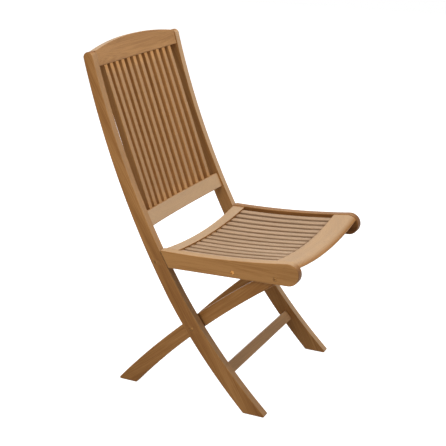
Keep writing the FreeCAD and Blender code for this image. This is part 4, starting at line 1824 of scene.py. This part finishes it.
@dataclass
class Fittings:
    """Bolts, pins, plugs and rings on the pivots, and the two links."""

    layout: ChairLayout
    head_radius: float = 5.5
    head_depth: float = 2.5
    head_rim: float = 1.0
    head_ease: float = 0.35
    dome_fall: float = 0.7
    socket_radius: float = 2.4
    socket_depth: float = 1.5
    socket_ease: float = 0.06
    bolt_radius: float = 4.0
    seat_bolt_radius: float = 3.0
    pin_radius: float = 3.0
    tip_ease: float = 0.4
    nut_radius: float = 7.0
    nut_height: float = 5.0
    nut_ease: float = 1.1
    nut_cone: float = 1.4
    spacer_radius: float = 10.0
    spacer_ease: float = 0.5
    disc_ease: float = 0.3
    face_gap: float = 0.3
    clearance: float = 0.05
    link_width: float = 18.0
    link_thickness: float = 4.0
    link_ease: float = 0.6
    stud_root: float = 0.5
    around: int = 48

    @property
    def collar_height(self) -> float:
        """Collar of a link pin between the stile and the link."""
        return (self.layout.side_gap - self.link_thickness) / 2 - self.face_gap

    @property
    def link_outer(self) -> float:
        """Outer face of the links."""
        return self.layout.stile_inner - self.collar_height - self.face_gap

    @property
    def link_inner(self) -> float:
        """Inner face of the links."""
        return self.link_outer - self.link_thickness

    def build(self) -> None:
        """Make the two links, and each fitting as a pair."""
        for side in Side:
            self.link(side)
        for node, fitting, finish, body in (
                ("crossing_bolts", self.crossing_bolt, Finish.DARK_BRASS, Body.BACK_FRAME),
                ("crossing_spacers", self.crossing_spacer, Finish.DARK_BRASS,
                 Body.BACK_FRAME),
                ("link_pins", self.link_pin, Finish.DARK_BRASS, Body.BACK_FRAME),
                ("seat_pivot_bolts", self.seat_pivot_bolt, Finish.DARK_BRASS,
                 Body.REAR_LEGS),
                ("seat_pivot_spacers", self.seat_pivot_spacer, Finish.BRASS,
                 Body.REAR_LEGS),
                ("rail_plugs", self.rail_plug, Finish.BRASS, Body.SEAT)):
            add_piece(node, joined([fitting(side) for side in Side]), finish, body)

    def crossing_bolt(self, side: Side) -> Surface:
        """Bolt through a stile and a rear leg, with a nut inside.

        Args:
            side: Which side of the chair.

        Returns:
            The bolt and its nut.
        """
        centre, nut_outer = self.layout.crossing, self.layout.leg_inner - self.face_gap
        return joined([self.shank(centre, side, self.bolt_radius, nut_outer - self.nut_height),
                       self.hexagon_nut(centre, side, nut_outer)])

    def crossing_spacer(self, side: Side) -> Surface:
        """Ring between a stile and a rear leg."""
        return self.spacer(self.layout.crossing, side, self.bolt_radius,
                           self.layout.stile_inner, self.layout.leg_outer + self.face_gap)

    def link_pin(self, side: Side) -> Surface:
        """Pin through a stile and a link, with a collar before the link and a rivet after it.

        Args:
            side: Which side of the chair.

        Returns:
            The pin, its collar and its rivet.
        """
        centre, face = self.layout.link_pin, self.layout.stile_inner
        tip = self.layout.leg_outer + self.face_gap
        return joined([self.shank(centre, side, self.pin_radius, tip),
                       self.disc(centre, side, face, face - self.collar_height),
                       self.disc(centre, side, self.link_inner - self.face_gap, tip)])

    def seat_pivot_bolt(self, side: Side) -> Surface:
        """Bolt through a side rail and a rear leg, with a nut inside.

        Args:
            side: Which side of the chair.

        Returns:
            The bolt and its nut.
        """
        centre, nut_outer = self.layout.seat_pivot, self.layout.leg_inner
        return joined([self.shank(centre, side, self.seat_bolt_radius,
                                  nut_outer - self.nut_height),
                       self.hexagon_nut(centre, side, nut_outer)])

    def seat_pivot_spacer(self, side: Side) -> Surface:
        """Ring between a side rail and a rear leg."""
        return self.spacer(self.layout.seat_pivot, side, self.seat_bolt_radius,
                           self.layout.stile_inner - self.face_gap, self.layout.leg_outer)

    def rail_plug(self, side: Side) -> Surface:
        """Plug in a side rail, where a link meets it."""
        return self.shank(self.layout.link_seat, side, self.pin_radius,
                          self.layout.stile_inner)

    def shank(self, centre: Array, side: Side, radius: float, inner: float) -> Surface:
        """Bolt, pin or plug: a domed head with a six-sided socket, and a plain shank.

        From the socket outwards and down to the tip the rows are the socket's floor, its wall
        and its eased rim, the dome, whose height falls with the square of the distance, the
        head's edge and the shank.

        Args:
            centre: Side-view point of its axis.
            side: Which side of the chair.
            radius: Radius of the shank.
            inner: Inner end of the shank.

        Returns:
            The closed surface.
        """
        face = self.layout.half_width
        floor, seat = face - self.socket_depth, face - self.head_depth
        # Shares of the socket's width: the middle of its floor, its rim and the dome's start.
        inside, flare, beside = 0.3, 1.06, 1.25
        socket = hexagon(self.socket_radius, self.around)
        dome = np.linspace(self.socket_radius * beside, self.head_radius - self.head_ease, 6)
        fall = self.dome_fall * (dome / self.head_radius) ** 2
        rows = [(floor, socket * inside), (floor, socket),
                (face - 2 * self.socket_ease, socket),
                (face - self.socket_ease, socket * flare)]
        rows += list(zip(face - fall, dome))
        rows += [(face - self.head_rim, self.head_radius), (seat, self.head_radius),
                 (seat, radius), (inner + self.tip_ease, radius),
                 (inner, radius - self.tip_ease)]
        outward = np.array([row[0] for row in rows])
        radii = np.stack([np.broadcast_to(row[1], self.around) for row in rows])
        return turned_solid(centre, side, outward, radii, self.around)

    def hexagon_nut(self, centre: Array, side: Side, outer: float) -> Surface:
        """Six-sided nut whose corners are turned off at both ends.

        The radius is the hexagon's, and at most the radius of the cone at that height.

        Args:
            centre: Side-view point of its axis.
            side: Which side of the chair.
            outer: Its outer face.

        Returns:
            The closed surface.
        """
        corners = hexagon(self.nut_radius * math.cos(math.pi / 6), self.around)
        height = np.array([0.0, 0.25, 0.6, 1.0])
        rise = np.concatenate((height, self.nut_height - height[::-1]))
        cone = (self.nut_radius - self.nut_ease
                + self.nut_cone * np.minimum(rise, self.nut_height - rise))
        radii = np.minimum(corners[None], cone[:, None])
        return turned_solid(centre, side, outer - rise, radii, self.around)

    def disc(self, centre: Array, side: Side, outer: float, inner: float) -> Surface:
        """Flat disc of a head's size with eased rims.

        Args:
            centre: Side-view point of its axis.
            side: Which side of the chair.
            outer: Its outer face.
            inner: Its inner face.

        Returns:
            The closed surface.
        """
        ease = self.disc_ease
        x = np.array([outer, outer - ease, inner + ease, inner])
        radii = self.head_radius - np.array([ease, 0, 0, ease])
        return turned_solid(centre, side, x, radii)

    def spacer(self, centre: Array, side: Side, bolt: float, outer: float,
               inner: float) -> Surface:
        """Ring round a bolt: an outer wall and an inner wall, joined by flat faces.

        Args:
            centre: Side-view point of its axis.
            side: Which side of the chair.
            bolt: Radius of the bolt through it.
            outer: Its outer face.
            inner: Its inner face.

        Returns:
            The closed surface.
        """
        hole, wall = bolt + self.clearance, self.spacer_radius
        ease = self.spacer_ease
        x = np.array([inner, inner, inner + ease, outer - ease, outer, outer])
        radii = np.array([hole, wall - ease, wall, wall, wall - ease, hole])
        return turned_solid(centre, side, x, radii, is_ring=True)

    def link(self, side: Side) -> None:
        """Flat bar with half-round ends, a hole for its pin and a stud at the seat end.

        Args:
            side: Which link.
        """
        layout = self.layout
        span = layout.link_seat - layout.link_pin
        length = float(np.linalg.norm(span))
        along, across = span / length, np.array([-span[1], span[0]]) / length
        radius = self.link_width / 2
        low = np.stack([layout.link_pin - radius * across, layout.link_seat - radius * across])
        high = low + 2 * radius * across
        rear_low, rear_high = cap_halves(low[0], layout.link_pin - radius * along, high[0], 8)
        front_low, front_high = cap_halves(low[1], layout.link_seat + radius * along, high[1],
                                           8)
        near = np.concatenate((rear_low[::-1], low, front_low))
        far = np.concatenate((rear_high[::-1], high, front_high))
        bar = planed_block(near, far, side_view(self.link_inner, side), self.link_thickness,
                           (self.link_ease, self.link_ease), steps=2)
        stud = self.disc(layout.link_seat, side, layout.stile_inner - self.face_gap,
                         self.link_inner + self.stud_root)
        hole = BoltHole(layout.link_pin, self.pin_radius + self.clearance)
        body = Body.LINK_RIGHT if side is Side.RIGHT else Body.LINK_LEFT
        add_piece(f"link_{side.word}", joined([bar, stud]), Finish.STEEL, body,
                  cutter=hole.cutter(side, self.link_inner, self.link_outer))


# Studio


@dataclass(frozen=True)
class Lamp:
    """Round soft lamp: its place and diameter in metres and its power in watts."""

    name: str
    place: tuple[float, float, float]
    diameter: float
    power: float

    def hang(self, target: Vector) -> None:
        """Put the lamp in its place, turned to the target.

        Args:
            target: The point it shines at.
        """
        data = bpy.data.lights.new(self.name, "AREA")
        data.shape, data.size, data.energy = "DISK", self.diameter, self.power
        lamp = bpy.data.objects.new(self.name, data)
        lamp.location = Vector(self.place)
        lamp.rotation_euler = (target - lamp.location).to_track_quat("-Z", "Y").to_euler()
        bpy.context.scene.collection.objects.link(lamp)


@dataclass
class Studio:
    """Pale floor, soft lights and the camera."""

    camera_place: tuple[float, float, float] = (-2604.3, -1255.2, 1418.8)
    azimuth: float = -64.07
    elevation: float = 18.54
    roll: float = 0.21
    lens: float = 86.52
    sensor: float = 36.0
    floor_reach: float = 8.0
    floor_height: float = -0.0004
    sky_strength: float = 0.26
    lamp_target: tuple[float, float, float] = (0, 0, 0.5)
    lamps: tuple[Lamp, ...] = (Lamp("top_light", (0.2, -0.6, 3.2), 2.4, 64.0),
                               Lamp("front_light", (0.9, -2.5, 3.0), 2.0, 30.0),
                               Lamp("side_light", (-1.7, 0.35, 1.15), 0.9, 13.5))

    def build(self) -> None:
        """Set up the camera, the floor, the lights and the colour view."""
        self.camera()
        self.floor()
        self.surroundings()
        for lamp in self.lamps:
            lamp.hang(Vector(self.lamp_target))
        bpy.context.scene.view_settings.view_transform = "Standard"

    def camera(self) -> None:
        """Camera whose axes follow from azimuth, elevation and roll.

        Back is (sin az cos el, -cos az cos el, sin el), right is (cos az, sin az, 0), and up
        is their cross product. The roll turns right and up about back.
        """
        azimuth, elevation = math.radians(self.azimuth), math.radians(self.elevation)
        back = Vector((math.sin(azimuth) * math.cos(elevation),
                       -math.cos(azimuth) * math.cos(elevation), math.sin(elevation)))
        right = Vector((math.cos(azimuth), math.sin(azimuth), 0))
        right = Matrix.Rotation(math.radians(self.roll), 3, back) @ right
        up = back.cross(right)
        data = bpy.data.cameras.new("photo_camera")
        data.lens, data.sensor_width = self.lens, self.sensor
        data.clip_start, data.clip_end = 0.05, 50
        view = bpy.data.objects.new("photo_camera", data)
        view.matrix_world = (Matrix.Translation(Vector(self.camera_place) * MM)
                             @ Matrix((right, up, back)).transposed().to_4x4())
        bpy.context.scene.collection.objects.link(view)
        bpy.context.scene.camera = view

    def floor(self) -> None:
        """Wide pale floor just under the feet, white to the camera and in reflections."""
        reach, height = self.floor_reach, self.floor_height
        mesh = bpy.data.meshes.new("floor")
        mesh.from_pydata([(-reach, -reach, height), (reach, -reach, height),
                          (reach, reach, height), (-reach, reach, height)], [],
                         [(0, 1, 2, 3)])
        floor = bpy.data.objects.new("floor", mesh)
        bpy.context.scene.collection.objects.link(floor)
        graph = MaterialGraph("floor_pale")
        graph.dress("Base Color", (0.5, 0.5, 0.5, 1))
        graph.dress("Roughness", 0.9)
        graph.dress("Specular IOR Level", 0.0)
        glow = graph.add("ShaderNodeEmission")
        graph.link(graph.seen(), glow.inputs["Strength"])
        both = graph.add("ShaderNodeAddShader")
        graph.link(graph.shader.outputs[0], both.inputs[0])
        graph.link(glow.outputs[0], both.inputs[1])
        graph.link(both.outputs[0], graph.output.inputs["Surface"])
        mesh.materials.append(graph.material)

    def surroundings(self) -> None:
        """World that is white to the camera and a soft pale light to the chair."""
        world = bpy.data.worlds.new("studio")
        bpy.context.scene.world = world
        world.use_nodes = True
        graph = NodeGraph(world.node_tree)
        background = next(node for node in graph.tree.nodes if node.type == "BACKGROUND")
        graph.link((1, 1, 1, 1), background.inputs["Color"])
        strength = graph.remap(graph.seen(), (0.0, 1.0, self.sky_strength, 1.0))
        graph.link(strength, background.inputs["Strength"])


def main() -> None:
    """Load the frame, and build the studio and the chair."""
    logging.basicConfig(level=logging.INFO, format="%(name)s: %(message)s")
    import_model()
    layout = ChairLayout()
    Studio().build()
    for group in (BackFrame(layout), RearLegs(layout), Seat(layout), Fittings(layout)):
        LOG.info("building %s", type(group).__name__)
        group.build()


if __name__ == "__main__":
    main()
